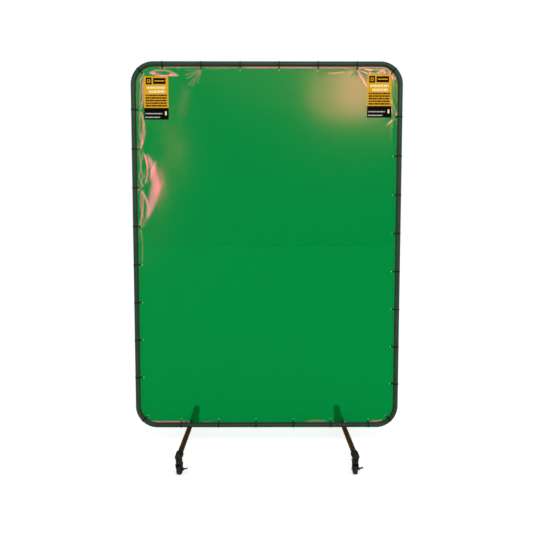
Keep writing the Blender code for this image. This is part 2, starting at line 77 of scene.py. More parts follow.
EDGE_GAP = 0.15 * MM  # between the curtain's edge and the tube
ROUND_SIDES = 48
SMALL_SIDES = 32
MERGE = 1.0e-6
X_AXIS = Vector((1.0, 0.0, 0.0))
Y_AXIS = Vector((0.0, 1.0, 0.0))
Z_AXIS = Vector((0.0, 0.0, 1.0))
Point = tuple[float, float]
Triple = tuple[float, float, float]
LYING_Y = Matrix.Rotation(math.radians(-90.0), 4, "X")
LYING_X = Matrix.Rotation(math.radians(90.0), 4, "Y")


class Slot(str, Enum):
    """The material slots, by name."""

    FRAME = "frame_paint"
    LEG = "leg_paint"
    ELBOW = "elbow_plastic"
    FILM = "green_film"
    NYLON = "black_nylon"
    ZINC = "zinc"
    STEEL = "steel"
    RUBBER = "wheel_rubber"


class Side(Enum):
    """The four straight sides of the frame."""

    TOP = "top"
    LEFT = "left"
    BOTTOM = "bottom"
    RIGHT = "right"


# ---------------------------------------------------------------------------- modelling by hand
def deselect_all() -> None:
    """Leave edit mode and select nothing."""
    if bpy.context.mode != "OBJECT":
        bpy.ops.object.mode_set(mode="OBJECT")
    bpy.ops.object.select_all(action="DESELECT")


def pick(piece: bpy.types.Object) -> None:
    """Make one object the only selected one, and the active one.

    Args:
        piece: The object to select.
    """
    deselect_all()
    piece.select_set(True)
    bpy.context.view_layer.objects.active = piece


def enter_edit(piece: bpy.types.Object) -> None:
    """Open one object in edit mode with all of it selected.

    Args:
        piece: The object to edit.
    """
    pick(piece)
    bpy.ops.object.mode_set(mode="EDIT")
    bpy.ops.mesh.select_all(action="SELECT")


def close_edit(piece: bpy.types.Object) -> bpy.types.Object:
    """Merge doubles, turn the faces outwards, leave edit mode and apply the object's place.

    Args:
        piece: The object in edit mode.

    Returns:
        The same object, at the origin, unturned and unscaled.
    """
    bpy.ops.mesh.select_all(action="SELECT")
    bpy.ops.mesh.remove_doubles(threshold=MERGE)
    bpy.ops.mesh.normals_make_consistent(inside=False)
    bpy.ops.object.mode_set(mode="OBJECT")
    bpy.ops.object.transform_apply(location=True, rotation=True, scale=True)
    return piece


def select_where(piece: bpy.types.Object, kind: str, test: Callable[[Vector, Vector], bool]) -> None:
    """Select only the vertices or edges that pass a test, in edit mode.

    Args:
        piece: The object in edit mode, unturned at the origin.
        kind: "VERT" or "EDGE".
        test: Takes an element's middle and an edge's run, which is nothing for a vertex.
    """
    bpy.ops.mesh.select_all(action="DESELECT")
    bpy.ops.mesh.select_mode(type=kind)
    shape = bmesh.from_edit_mesh(piece.data)
    if kind == "VERT":
        elements = [(v, v.co, Vector()) for v in shape.verts]
    else:
        elements = [(e, (e.verts[0].co + e.verts[1].co) / 2, (e.verts[1].co - e.verts[0].co).normalized())
                    for e in shape.edges]
    for element, middle, way in elements:
        if test(middle, way):
            element.select_set(True)
    shape.select_flush_mode()
    bmesh.update_edit_mesh(piece.data)


def linked(piece: bpy.types.Object) -> bpy.types.Object:
    """Add an object to the scene, and return it."""
    bpy.context.scene.collection.objects.link(piece)
    return piece


def moved(piece: bpy.types.Object, place: Matrix) -> bpy.types.Object:
    """Move the mesh itself, and leave the object at the origin.

    Args:
        piece: The object whose mesh moves.
        place: A rigid move.

    Returns:
        The same object.
    """
    piece.data.transform(place)
    piece.data.update()
    return piece


def copied(piece: bpy.types.Object, name: str, place: Matrix) -> bpy.types.Object:
    """Copy an object with its own mesh, and move the copy.

    Args:
        piece: The object to copy.
        name: The copy's name.
        place: Where the copy goes, from the first one.

    Returns:
        The copy.
    """
    twin = piece.copy()
    twin.data = piece.data.copy()
    twin.name = name
    twin.data.name = name
    return moved(linked(twin), place)


def discard(piece: bpy.types.Object) -> None:
    """Remove a pattern piece once its copies are made."""
    bpy.data.objects.remove(piece, do_unlink=True)


def with_modifier(piece: bpy.types.Object, kind: str, **settings: object) -> bpy.types.Object:
    """Add one modifier, set it and apply it.

    Args:
        piece: The object to work on.
        kind: The modifier's type.
        **settings: The modifier's properties.

    Returns:
        The same object.
    """
    pick(piece)
    step = piece.modifiers.new("step", kind)
    for name, value in settings.items():
        setattr(step, name, value)
    bpy.ops.object.modifier_apply(modifier=step.name)
    return piece


def bevelled(piece: bpy.types.Object, width: float, segments: int = 2,
             angle: float = 30.0) -> bpy.types.Object:
    """Round the sharp edges.

    Args:
        piece: The object to bevel.
        width: The bevel's width.
        segments: How many faces the bevel has across.
        angle: The least angle between faces that counts as sharp, in degrees.

    Returns:
        The same object.
    """
    return with_modifier(piece, "BEVEL", width=width, segments=segments, limit_method="ANGLE",
                         angle_limit=math.radians(angle), harden_normals=False)


def combined(first: bpy.types.Object, others: Sequence[bpy.types.Object], way: str) -> bpy.types.Object:
    """Add pieces to, or cut them from, the first one.

    Args:
        first: The object that is changed.
        others: The objects that are used up.
        way: "UNION" or "DIFFERENCE".

    Returns:
        The first object.
    """
    for other in others:
        with_modifier(first, "BOOLEAN", operation=way, object=other, solver="EXACT")
        discard(other)
    return first


def box(low: Sequence[float], high: Sequence[float], rounding: float = 0.0,
        segments: int = 3) -> bpy.types.Object:
    """Make a block between two corners, with rounded edges.

    Args:
        low: The lowest corner.
        high: The highest corner.
        rounding: The width of the bevel on its edges.
        segments: How many faces the bevel has across.

    Returns:
        The block.
    """
    deselect_all()
    corner, far = Vector(low), Vector(high)
    bpy.ops.mesh.primitive_cube_add(size=1.0, location=(corner + far) / 2, scale=far - corner)
    piece = bpy.context.object
    bpy.ops.object.transform_apply(location=True, rotation=True, scale=True)
    return bevelled(piece, rounding, segments) if rounding else piece


def turned(stations: Sequence[Point], sides: int = ROUND_SIDES, place: Matrix | None = None,
           ring: bool = False) -> bpy.types.Object:
    """Turn a shape about Z: a ring is extruded and resized from one station to the next.

    Args:
        stations: Each ring's radius and height.
        sides: How many sides it has round.
        place: A move to apply at the end.
        ring: True if the last station joins the first, as in a washer.

    Returns:
        A closed solid.
    """
    deselect_all()
    radius, height = stations[0]
    bpy.ops.mesh.primitive_circle_add(vertices=sides, radius=radius, location=(0.0, 0.0, height))
    piece = bpy.context.object
    bpy.ops.object.mode_set(mode="EDIT")
    bpy.ops.mesh.select_all(action="SELECT")
    for (r0, h0), (r1, h1) in pairwise([*stations, *(stations[:1] if ring else [])]):
        bpy.ops.mesh.extrude_region_move(TRANSFORM_OT_translate={"value": (0.0, 0.0, h1 - h0)})
        bpy.ops.transform.resize(value=(r1 / r0, r1 / r0, 1.0), center_override=(0.0, 0.0, h1))
    if not ring:
        bpy.ops.mesh.edge_face_add()
        bpy.ops.mesh.select_all(action="DESELECT")
        bpy.ops.mesh.select_non_manifold()
        bpy.ops.mesh.edge_face_add()
    close_edit(piece)
    return moved(piece, place) if place is not None else piece


def arc(centre: Point, radius: float, start: float, end: float, steps: int) -> list[Point]:
    """List points on a circle.

    Args:
        centre: The circle's centre.
        radius: The circle's radius.
        start: The first angle, in degrees.
        end: The last angle, in degrees.
        steps: How many chords there are between them.

    Returns:
        steps + 1 points.
    """
    points = []
    for index in range(steps + 1):
        angle = math.radians(start + (end - start) * index / steps)
        points.append((centre[0] + radius * math.cos(angle), centre[1] + radius * math.sin(angle)))
    return points


def in_mm(*pairs: Point) -> list[Point]:
    """Turn radii and heights in millimetres into metres."""
    return [(radius * MM, height * MM) for radius, height in pairs]


def mirrored(upper: list[Point]) -> list[Point]:
    """Follow the stations of one half with the same ones on the other side of the middle, backwards."""
    return upper + [(radius, -height) for radius, height in reversed(upper)]


@dataclass
class Run:
    """A section that is drawn along straights and bends, in edit mode."""

    piece: bpy.types.Object
    place: Vector
    along: Vector
    radius: float = 0.0

    @classmethod
    def of_ring(cls, place: Vector, along: Vector, radius: float, sides: int = ROUND_SIDES) -> Run:
        """Start from a ring.

        Args:
            place: The ring's centre.
            along: The way that the run leaves.
            radius: The ring's radius.
            sides: How many sides it has.

        Returns:
            The run, in edit mode.
        """
        deselect_all()
        turn = Z_AXIS.rotation_difference(along).to_euler()
        bpy.ops.mesh.primitive_circle_add(vertices=sides, radius=radius, location=place, rotation=turn)
        piece = bpy.context.object
        bpy.ops.object.transform_apply(location=True, rotation=True, scale=True)
        enter_edit(piece)
        return cls(piece, place.copy(), along.copy(), radius)

    def straight(self, length: float) -> Run:
        """Go straight on for a length."""
        bpy.ops.mesh.extrude_region_move(TRANSFORM_OT_translate={"value": self.along * length})
        self.place = self.place + self.along * length
        return self

    def neck(self, radius: float, length: float) -> Run:
        """Go straight on for a length while the ring changes to a new radius."""
        self.straight(length)
        factor = radius / self.radius
        bpy.ops.transform.resize(value=(factor, factor, factor), center_override=self.place)
        self.radius = radius
        return self

    def bend(self, axis: Vector, radius: float, degrees: float, steps: int) -> Run:
        """Bend round an axis, right-handed.

        Args:
            axis: The bend's axis.
            radius: From the axis to the run's centre line.
            degrees: How far it bends.
            steps: How many chords the bend has.

        Returns:
            The run.
        """
        angle = math.radians(degrees)
        centre = self.place + axis.cross(self.along) * radius
        bpy.ops.mesh.spin(steps=steps, angle=-angle, center=centre, axis=axis)
        turn = Matrix.Rotation(angle, 3, axis)
        self.place = centre + turn @ (self.place - centre)
        self.along = (turn @ self.along).normalized()
        return self

    def close(self, wall: float = 0.0) -> bpy.types.Object:
        """Leave edit mode, and give the run a wall that grows inwards.

        Args:
            wall: The wall's thickness, or 0 for none.

        Returns:
            The finished object.
        """
        close_edit(self.piece)
        return with_modifier(self.piece, "SOLIDIFY", thickness=wall, offset=-1.0) if wall else self.piece


def fitted(piece: bpy.types.Object, name: str, finish: Finish | None, body: str,
           replaces: Sequence[str] = (), smooth: float = 35.0) -> bpy.types.Object:
    """Name a finished piece, shade it, give it its finish and tie it to a body.

    Args:
        piece: The object.
        name: Its name.
        finish: Its finish, or None if its faces already have theirs.
        body: The CAD body that it rides on.
        replaces: The CAD nodes that it stands for.
        smooth: The angle under which edges are shaded smooth, in degrees.

    Returns:
        The same object.
    """
    pick(piece)
    piece.name = name
    piece.data.name = name
    bpy.ops.object.shade_smooth_by_angle(angle=math.radians(smooth))
    if finish is not None:
        piece.data.materials.clear()
        piece.data.materials.append(finish.material())
    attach(piece, body)
    if replaces:
        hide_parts(*replaces)
    return piece


# ------------------------------------------------------------------------------------- finishes
def linear(code: str) -> tuple[float, float, float, float]:
    """Turn an sRGB hex colour into linear light.

    Args:
        code: Six hex digits after a hash.

    Returns:
        Red, green, blue and an alpha of 1.
    """
    values = [int(code[start:start + 2], 16) / 255 for start in (1, 3, 5)]
    red, green, blue = (v / 12.92 if v <= 0.04045 else ((v + 0.055) / 1.055) ** 2.4 for v in values)
    return red, green, blue, 1.0


def add_node(tree: bpy.types.NodeTree, kind: str, inputs: dict[str | int, object] | None = None,
             **settings: object) -> bpy.types.Node:
    """Add a node, set its properties and fill its inputs.

    Args:
        tree: The node tree.
        kind: The node's type.
        inputs: For each input's name or number, its value or the socket that feeds it.
        **settings: The node's properties.

    Returns:
        The node.
    """
    node = tree.nodes.new(kind)
    for name, value in settings.items():
        setattr(node, name, value)
    for key, value in (inputs or {}).items():
        if isinstance(value, bpy.types.NodeSocket):
            tree.links.new(value, node.inputs[key])
        else:
            node.inputs[key].default_value = value
    return node


@dataclass(frozen=True)
class Finish:
    """What every finish has: its name, its colour and how rough it is."""

    name: str
    colour: str
    roughness: float

    def material(self) -> bpy.types.Material:
        """Return the material, which is made the first time."""
        made = bpy.data.materials.get(self.name)
        if made is None:
            made = bpy.data.materials.new(self.name)
            made.use_nodes = True
            made.node_tree.nodes.clear()
            self.dress(made.node_tree)
            made.diffuse_color = linear(self.colour)
        return made

    def dress(self, tree: bpy.types.NodeTree) -> None:
        """Fill the material's node tree."""
        raise NotImplementedError

    def finished(self, tree: bpy.types.NodeTree, **inputs: object) -> bpy.types.Node:
        """Add a Principled shader and the output.

        Args:
            tree: The node tree.
            **inputs: The shader's inputs, with underscores for spaces.

        Returns:
            The shader.
        """
        filled = {"Roughness": self.roughness}
        filled.update({name.replace("_", " "): value for name, value in inputs.items()})
        if "IOR_Level" in inputs:
            filled["Specular IOR Level"] = filled.pop("IOR Level")
        shader = add_node(tree, "ShaderNodeBsdfPrincipled", filled)
        add_node(tree, "ShaderNodeOutputMaterial", {"Surface": shader.outputs[0]})
        return shader

    def mottle(self, tree: bpy.types.NodeTree, size: float, low: object, high: object, detail: float = 3.0,
               sharp: float = 0.25) -> bpy.types.NodeSocket:
        """Vary a colour or a number in soft patches.

        Args:
            tree: The node tree.
            size: The patches' size in metres.
            low: The colour or number in one sort of patch.
            high: The colour or number in the other.
            detail: How much finer detail the patches have.
            sharp: Half the width of the change between them, from 0 to 0.5.

        Returns:
            The socket with the varied colour or number.
        """
        where = add_node(tree, "ShaderNodeTexCoord").outputs["Object"]
        noise = add_node(tree, "ShaderNodeTexNoise", {"Vector": where, "Scale": 1.0 / size, "Detail": detail})
        spread = add_node(tree, "ShaderNodeMapRange",
                          {"Value": noise.outputs["Fac"], "From Min": 0.5 - sharp, "From Max": 0.5 + sharp})
        if isinstance(low, tuple):
            mix = add_node(tree, "ShaderNodeMix", {0: spread.outputs[0], 6: low, 7: high}, data_type="RGBA")
            return mix.outputs[2]
        spread.inputs["To Min"].default_value = low
        spread.inputs["To Max"].default_value = high
        return spread.outputs[0]

    def bumps(self, tree: bpy.types.NodeTree, size: float, depth: float, detail: float = 2.0,
              under: bpy.types.NodeSocket | None = None) -> bpy.types.NodeSocket:
        """Roughen the surface with soft bumps.

        Args:
            tree: The node tree.
            size: The bumps' spacing in metres.
            depth: Their depth in metres.
            detail: How much finer detail they have.
            under: A normal that they lie on.

        Returns:
            The normal.
        """
        where = add_node(tree, "ShaderNodeTexCoord").outputs["Object"]
        noise = add_node(tree, "ShaderNodeTexNoise", {"Vector": where, "Scale": 1.0 / size, "Detail": detail})
        inputs = {"Height": noise.outputs["Fac"], "Distance": depth, "Strength": 1.0}
        if under is not None:
            inputs["Normal"] = under
        return add_node(tree, "ShaderNodeBump", inputs).outputs[0]


@dataclass(frozen=True)
class PowderCoat(Finish):
    """Sprayed and baked polyester powder: a glossy skin with orange peel and rubbed, dusty patches, with
    painted shade in brown on the sides that face into the frame.
    """

    worn: str
    # The brown below is painted shade, for the sides of the tubes that face the curtain.
    painted_shade: str = "#3A1F12"

    def dress(self, tree: bpy.types.NodeTree) -> None:
        """Lay orange peel 2.5 mm across under hand-sized patches, with painted shade turning the coat brown
        on the sides that face into the frame.
        """
        coat = self.mottle(tree, 0.12, linear(self.colour), linear(self.worn), 4.0)
        # Painted shade: the more a point faces into the frame, by its inward attribute, the more its colour
        # turns to the brown.
        inward = add_node(tree, "ShaderNodeAttribute", attribute_name="inward").outputs["Fac"]
        shade_share = add_node(tree, "ShaderNodeMapRange",
                        {"Value": inward, "From Min": 0.38, "From Max": 0.80, "To Max": 0.92})
        body = add_node(tree, "ShaderNodeMix", {0: shade_share.outputs[0], 6: coat, 7: linear(self.painted_shade)},
                        data_type="RGBA").outputs[2]
        scuffs = self.mottle(tree, 0.012, self.roughness - 0.05, self.roughness + 0.14, 5.0, 0.2)
        peel = self.bumps(tree, 2.5 * MM, 0.035 * MM)
        self.finished(tree, Base_Color=body, Roughness=scuffs, Normal=peel, IOR=1.5, IOR_Level=0.26)


@dataclass(frozen=True)
class Nylon(Finish):
    """Injection-moulded nylon: dark through and through, satin, with the mould's fine spark texture."""

    grain: float
    lighter: str

    def dress(self, tree: bpy.types.NodeTree) -> None:
        """Mottle the colour over a few millimetres, as glass fibre or regrind does."""
        body = self.mottle(tree, 4.0 * MM, linear(self.colour), linear(self.lighter), 4.0, 0.3)
        sheen = self.mottle(tree, 6.0 * MM, self.roughness - 0.06, self.roughness + 0.08)
        texture = self.bumps(tree, self.grain, 0.03 * MM)
        self.finished(tree, Base_Color=body, Roughness=sheen, Normal=texture, IOR=1.53, IOR_Level=0.25)


@dataclass(frozen=True)
class ZincPlate(Finish):
    """Bright zinc electroplate on pressed steel: pale and metallic, with clouded passivation."""

    clouded: str = "#8F8A84"

    def dress(self, tree: bpy.types.NodeTree) -> None:
        """Cloud the plate over 7 mm, and add the rolled sheet's fine unevenness."""
        body = self.mottle(tree, 7.0 * MM, linear(self.colour), linear(self.clouded), 5.0, 0.22)
        haze = self.mottle(tree, 4.0 * MM, self.roughness - 0.08, self.roughness + 0.15, 4.0)
        texture = self.bumps(tree, 1.5 * MM, 0.02 * MM)
        self.finished(tree, Base_Color=body, Roughness=haze, Normal=texture, Metallic=1.0)


@dataclass(frozen=True)
class Rubber(Finish):
    """Moulded tread rubber: matt black, greyed by dust where it rolls."""

    dusty: str = "#3A3734"

    def dress(self, tree: bpy.types.NodeTree) -> None:
        """Grey the tread in 5 mm patches over a 0.6 mm grain."""
        body = self.mottle(tree, 5.0 * MM, linear(self.colour), linear(self.dusty), 5.0, 0.2)
        texture = self.bumps(tree, 0.6 * MM, 0.06 * MM)
        self.finished(tree, Base_Color=body, Normal=texture, IOR=1.52, IOR_Level=0.3)


@dataclass(frozen=True)
class TintedFilm(Finish):
    """Plasticised PVC film, calendered 0.4 mm thick: clear green, glossy, with a warm cast to its glare."""

    through: tuple[float, float, float, float] = (0.001, 0.665, 0.305, 1.0)
    scatter: float = 0.45
    # The peach painted as highlight along the film's creases, and how far it hides what is behind.
    glint_colour: tuple[float, float, float, float] = (0.690, 0.345, 0.285, 1.0)
    glint_opacity: float = 0.98
    deeper: str = "#027F39"

    def dress(self, tree: bpy.types.NodeTree) -> None:
        """Mix light that passes straight through with light that the film's pigment scatters.

        Along the creases a painted highlight turns the pigment to a peach that hides what is behind it.  The
        gloss is clouded by 20 mm patches of handling haze, and the calender rolls leave flat ripples about 30
        mm apart with a 9 mm dapple on them.
        """
        ripples = self.bumps(tree, 30.0 * MM, 0.09 * MM, 1.0)
        surface = self.bumps(tree, 9.0 * MM, 0.005 * MM, 2.0, ripples)
        haze = self.mottle(tree, 20.0 * MM, self.roughness - 0.03, self.roughness + 0.06, 6.0)
        deeper = self.mottle(tree, 0.25, linear(self.colour), linear(self.deeper), 2.0, 0.3)
        # Painted highlights: this attribute turns the film peach and less clear along its creases.
        bruise = add_node(tree, "ShaderNodeAttribute", attribute_name="bruise").outputs["Fac"]
        marked = add_node(tree, "ShaderNodeMix", {0: bruise, 6: deeper, 7: self.glint_colour}, data_type="RGBA")
        pigment = add_node(tree, "ShaderNodeBsdfPrincipled",
                           {"Base Color": marked.outputs[2], "Roughness": haze, "Normal": surface,
                            "IOR": 1.54, "Specular IOR Level": 0.08, "Specular Tint": (1.0, 0.20, 0.20, 1.0)})
        clear = add_node(tree, "ShaderNodeBsdfTransparent", {"Color": self.through})
        glint_cover = add_node(tree, "ShaderNodeMapRange",
                         {"Value": bruise, "To Min": self.scatter, "To Max": self.glint_opacity})
        both = add_node(tree, "ShaderNodeMixShader",
                        {0: glint_cover.outputs[0], 1: clear.outputs[0], 2: pigment.outputs[0]})
        add_node(tree, "ShaderNodeOutputMaterial", {"Surface": both.outputs[0]})


@dataclass(frozen=True)
class PrintedVinyl(Finish):
    """Screen ink on self-adhesive vinyl: flat, even colour under a satin film."""

    faded: float = 0.90

    def dress(self, tree: bpy.types.NodeTree) -> None:
        """Fade the ink in finger-sized patches, over the film's 1 mm grain."""
        ink = linear(self.colour)
        pale = (*(channel * self.faded for channel in ink[:3]), 1.0)
        body = self.mottle(tree, 15.0 * MM, ink, pale, 4.0)
        texture = self.bumps(tree, 1.0 * MM, 0.008 * MM)
        self.finished(tree, Base_Color=body, Normal=texture, IOR=1.48, IOR_Level=0.06)


@dataclass(frozen=True)
class PlainFloor(Finish):
    """A pale seamless studio floor."""

    glow: float = 0.595

    def dress(self, tree: bpy.types.NodeTree) -> None:
        """Keep the sweep as pale as the studio round it."""
        self.finished(tree, Base_Color=linear(self.colour), Emission_Color=(1.0, 1.0, 1.0, 1.0),
                      Emission_Strength=self.glow, IOR_Level=0.0)


FRAME_COAT = PowderCoat("Dark green-grey polyester powder coat", "#1F3F30", 0.34, "#2A493A")
LEG_COAT = PowderCoat("Black-brown polyester powder coat", "#47270F", 0.42, "#553212")
FILM = TintedFilm("Green PVC welding film", "#00833A", 0.16)
TIE_NYLON = Nylon("Black nylon 66, moulded ties", "#090505", 0.50, 0.8 * MM, "#120A09")
ELBOW_NYLON = Nylon("Glass-filled nylon, moulded elbows", "#1E1417", 0.46, 0.5 * MM, "#2A1F22")
HUB_NYLON = Nylon("Grey-black polypropylene, moulded hubs", "#222122", 0.50, 0.7 * MM, "#2E2C2C")
ZINC = ZincPlate("Bright zinc plate on steel", "#C6C7C9", 0.30)
BLACK_ZINC = ZincPlate("Black-passivated zinc plate", "#5E5855", 0.34, "#39342F")
AXLE_STEEL = ZincPlate("Turned and plated steel", "#A9ABAE", 0.26, "#85837F")
TREAD = Rubber("Black tread rubber", "#171515", 0.72)
AMBER_INK = PrintedVinyl("Amber screen ink on vinyl", "#D9A01F", 0.50)
BLACK_INK = PrintedVinyl("Black screen ink on vinyl", "#080706", 0.50)
CREAM_INK = PrintedVinyl("Cream screen ink on vinyl", "#F1DDA0", 0.38)
BROWN_INK = PrintedVinyl("Brown screen ink on vinyl", "#241405", 0.50)
GREY_INK = PrintedVinyl("Grey screen ink on vinyl", "#B9B8B4", 0.36)
FLOOR = PlainFloor("Pale studio floor", "#F2F2F0", 0.90)


# ------------------------------------------------------------------------------------ the frame
@dataclass
class SteelFrame:
    """Two bows and the two uprights that plug into them."""

    high_joint: float = 1.750
    low_joint: float = 0.250
    high_bend: float = 1.8375
    low_bend: float = 0.2125
    spigot_clearance: float = 2.5 * MM
    rim: float = 0.4 * MM
    step: float = 5 * MERGE
    bend_steps: int = 24

    def bow(self, joint: float, bend: float, axis: Vector) -> bpy.types.Object:
        """Bend one bow from the left joint, round two corners and back to the right joint.

        Args:
            joint: The height of its ends.
            bend: The height where the bends start.
            axis: The axis that both bends turn about.

        Returns:
            The bow, with rolled rims and a wall.
        """
        way = Z_AXIS if bend > joint else -Z_AXIS
        run = Run.of_ring(Vector((-FRAME_HALF_X, 0.0, joint)), way, TUBE_RADIUS - self.rim)
        run.neck(TUBE_RADIUS, self.rim).straight(abs(bend - joint) - self.rim)
        run.bend(axis, BEND_RADIUS, 90.0, self.bend_steps).straight(2 * (FRAME_HALF_X - BEND_RADIUS))
        run.bend(axis, BEND_RADIUS, 90.0, self.bend_steps).straight(abs(bend - joint) - self.rim)
        return run.neck(TUBE_RADIUS - self.rim, self.rim).close(TUBE_WALL)

    def upright(self, x: float) -> bpy.types.Object:
        """Draw one upright, swaged down at both ends to plug into the bows.

        Args:
            x: Where it stands.

        Returns:
            The upright.
        """
        spigot = TUBE_RADIUS - TUBE_WALL - GAP
        foot = self.low_bend + self.spigot_clearance
        head = self.high_bend - self.spigot_clearance
        run = Run.of_ring(Vector((x, 0.0, foot)), Z_AXIS, spigot)
        rolled = TUBE_RADIUS - self.rim
        run.straight(self.low_joint - foot).neck(rolled, self.step).neck(TUBE_RADIUS, self.rim)
        run.straight(self.high_joint - self.low_joint - 2 * self.rim)
        run.neck(rolled, self.rim).neck(spigot, self.step).straight(head - self.high_joint)
        return run.close(TUBE_WALL)

    def mark_painted_shade(self, piece: bpy.types.Object) -> None:
        """Mark how far each point of a tube faces the curtain, for the shade painted on that side.

        Args:
            piece: A finished tube of the frame.
        """
        mark = piece.data.attributes.new("inward", "FLOAT", "POINT")
        middle = (FRAME_LOW_Z + FRAME_HIGH_Z) / 2
        across, up = FRAME_HALF_X - BEND_RADIUS, (FRAME_HIGH_Z - FRAME_LOW_Z) / 2 - BEND_RADIUS
        for vertex in piece.data.vertices:
            x, z = vertex.co.x, vertex.co.z - middle
            way = Vector((max(abs(x) - across, 0.0) * -math.copysign(1.0, x), 0.0,
                          max(abs(z) - up, 0.0) * -math.copysign(1.0, z)))
            mark.data[vertex.index].value = max(0.0, vertex.normal.dot(way.normalized()))

    def bolt(self) -> bpy.types.Object:
        """Make a leg bolt about Z: hex head under the leg, hex nut and thread on the frame.

        Returns:
            The bolt for X = 0.
        """
        corner = 13.0 * MM / math.sqrt(3.0)
        head_top = LEG_Z - TUBE_RADIUS - GAP
        nut_foot = FRAME_LOW_Z + TUBE_RADIUS + GAP
        head = turned([(corner * 0.92, head_top - 5.3 * MM), (corner, head_top - 4.8 * MM),
                       (corner, head_top)], 6)
        nut = turned([(corner * 0.93, nut_foot), (corner, nut_foot + 0.5 * MM),
                      (corner, nut_foot + 6.0 * MM), (corner * 0.93, nut_foot + 6.5 * MM)], 6)
        top, crest, pitch = nut_foot + 12.5 * MM, 3.95 * MM, 1.25
        thread = [(3.9 * MM, head_top - 2.0 * MM), (3.9 * MM, nut_foot + 6.3 * MM)]
        for ridge in range(4):
            foot = nut_foot + (6.4 + pitch * ridge) * MM
            thread += [(3.4 * MM, foot + 0.2 * MM), (crest, foot + 0.65 * MM), (crest, foot + 0.85 * MM)]
        shank = turned([*thread, (3.2 * MM, top - 0.3 * MM), (2.6 * MM, top)], SMALL_SIDES)
        return combined(shank, [head, nut], "UNION")

    def build(self) -> int:
        """Make the frame's pieces.

        Returns:
            How many pieces there are.
        """
        bows = [("upper_bow", self.bow(self.high_joint + GAP, self.high_bend, Y_AXIS)),
                ("lower_bow", self.bow(self.low_joint - GAP, self.low_bend, -Y_AXIS)),
                ("left_upright", self.upright(-FRAME_HALF_X)), ("right_upright", self.upright(FRAME_HALF_X))]
        for node, piece in bows:
            # Each tube is marked for the shade painted on its inner side.
            self.mark_painted_shade(fitted(piece, f"{node}_tube", FRAME_COAT, "frame", [node]))
        pattern = self.bolt()
        for side, x in (("left", -LEG_X), ("right", LEG_X)):
            twin = copied(pattern, f"{side}_leg_bolt_zinc", Matrix.Translation((x, 0.0, 0.0)))
            fitted(twin, twin.name, ZINC, "frame", [f"{side}_leg_bolt"], 25.0)
        discard(pattern)
        return len(bows) + 2


# -------------------------------------------------------------------------- the curtain and ties
@dataclass(frozen=True)
class EyeletRow:
    """One side's eyelets, counted round the curtain from the top right corner."""

    side: Side
    count: int
    first: float
    last: float


@dataclass(frozen=True)
class Eyelet:
    """Where one tie sits: the point on the tube's centre line, and the way in to the curtain."""

    node: str
    place: Vector
    inwards: Vector

    @property
    def hole(self) -> Vector:
        """The middle of the hole that the tie has pulled towards the tube, in X and Z."""
        return self.place + self.inwards * (TUBE_RADIUS + EYELET_INSET - HOLE_PULL)


EYELET_ROWS = (EyeletRow(Side.TOP, 6, 0.185, 0.114), EyeletRow(Side.LEFT, 8, 0.193, 0.220),
               EyeletRow(Side.BOTTOM, 6, 0.190, 0.109), EyeletRow(Side.RIGHT, 8, 0.185, 0.228))


def eyelets() -> list[Eyelet]:
    """List the curtain's eyelets.

    Returns:
        Each row's eyelets, then the four corners'.
    """
    inset = TUBE_RADIUS + EYELET_INSET
    row_x, low, high = FRAME_HALF_X - inset, FRAME_LOW_Z + inset, FRAME_HIGH_Z - inset
    ends = {Side.TOP: ((row_x, FRAME_HIGH_Z), (-row_x, FRAME_HIGH_Z)),
            Side.LEFT: ((-FRAME_HALF_X, high), (-FRAME_HALF_X, low)),
            Side.BOTTOM: ((-row_x, FRAME_LOW_Z), (row_x, FRAME_LOW_Z)),
            Side.RIGHT: ((FRAME_HALF_X, low), (FRAME_HALF_X, high))}
    found = []
    for row in EYELET_ROWS:
        start, end = (Vector(point) for point in ends[row.side])
        run = (end - start).normalized()
        pitch = ((end - start).length - row.first - row.last) / (row.count - 1)
        for index in range(row.count):
            place = start + run * (row.first + index * pitch)
            found.append(Eyelet(f"tie_{row.side.value}_{index + 1}", place, Vector((-run.y, run.x))))
    for level, up in (("top", 1), ("bottom", -1)):
        z = FRAME_HIGH_Z - BEND_RADIUS if up > 0 else FRAME_LOW_Z + BEND_RADIUS
        for side, across in (("left", -1), ("right", 1)):
            outwards = Vector((across, up)).normalized()
            place = Vector((across * (FRAME_HALF_X - BEND_RADIUS), z)) + outwards * BEND_RADIUS
            found.append(Eyelet(f"tie_corner_{level}_{side}", place, -outwards))
    return found


LABEL_SPOTS = (("left_label", -0.610, 1.6670), ("right_label", 0.498, 1.6765))
LABEL_SIZE = (0.121, 0.2105)
HARD_PULLED = ("tie_left_2", "tie_left_3", "tie_left_4", "tie_right_8", "tie_top_1", "tie_corner_top_left")


def hole_distance(x: np.ndarray, z: np.ndarray) -> np.ndarray:
    """Return each point's distance from the middle of the nearest eyelet."""
    holes = np.array([tuple(eye.hole) for eye in eyelets()])
    gaps = np.hypot(np.ravel(x)[:, None] - holes[:, 0], np.ravel(z)[:, None] - holes[:, 1])
    return gaps.min(axis=1).reshape(np.shape(x))


def eased(share: np.ndarray) -> np.ndarray:
    """Keep each share of the way between 0 and 1, with a slow start and a slow end."""
    share = np.clip(share, 0.0, 1.0)
    return share * share * (3.0 - 2.0 * share)


@dataclass(frozen=True)
class Crease:
    """A soft ridge along a line in the film, from one point to another, that fades at both ends."""

    start: Point
    end: Point
    width: float
    height: float
    bow: float = 0.0

    def lift(self, x: np.ndarray, z: np.ndarray) -> np.ndarray:
        """Return how far the crease moves each point along Y."""
        a, b = np.array(self.start), np.array(self.end)
        run = b - a
        length = math.hypot(*run)
        along = ((x - a[0]) * run[0] + (z - a[1]) * run[1]) / length ** 2
        off = ((x - a[0]) * run[1] - (z - a[1]) * run[0]) / length
        inside = np.clip(along, 0.0, 1.0)
        fade = np.sin(np.pi * inside) ** 0.6
        fade[(along < 0.0) | (along > 1.0)] = 0.0
        off = off - self.bow * np.sin(np.pi * inside)
        return self.height * fade * np.exp(-(off / self.width) ** 2)


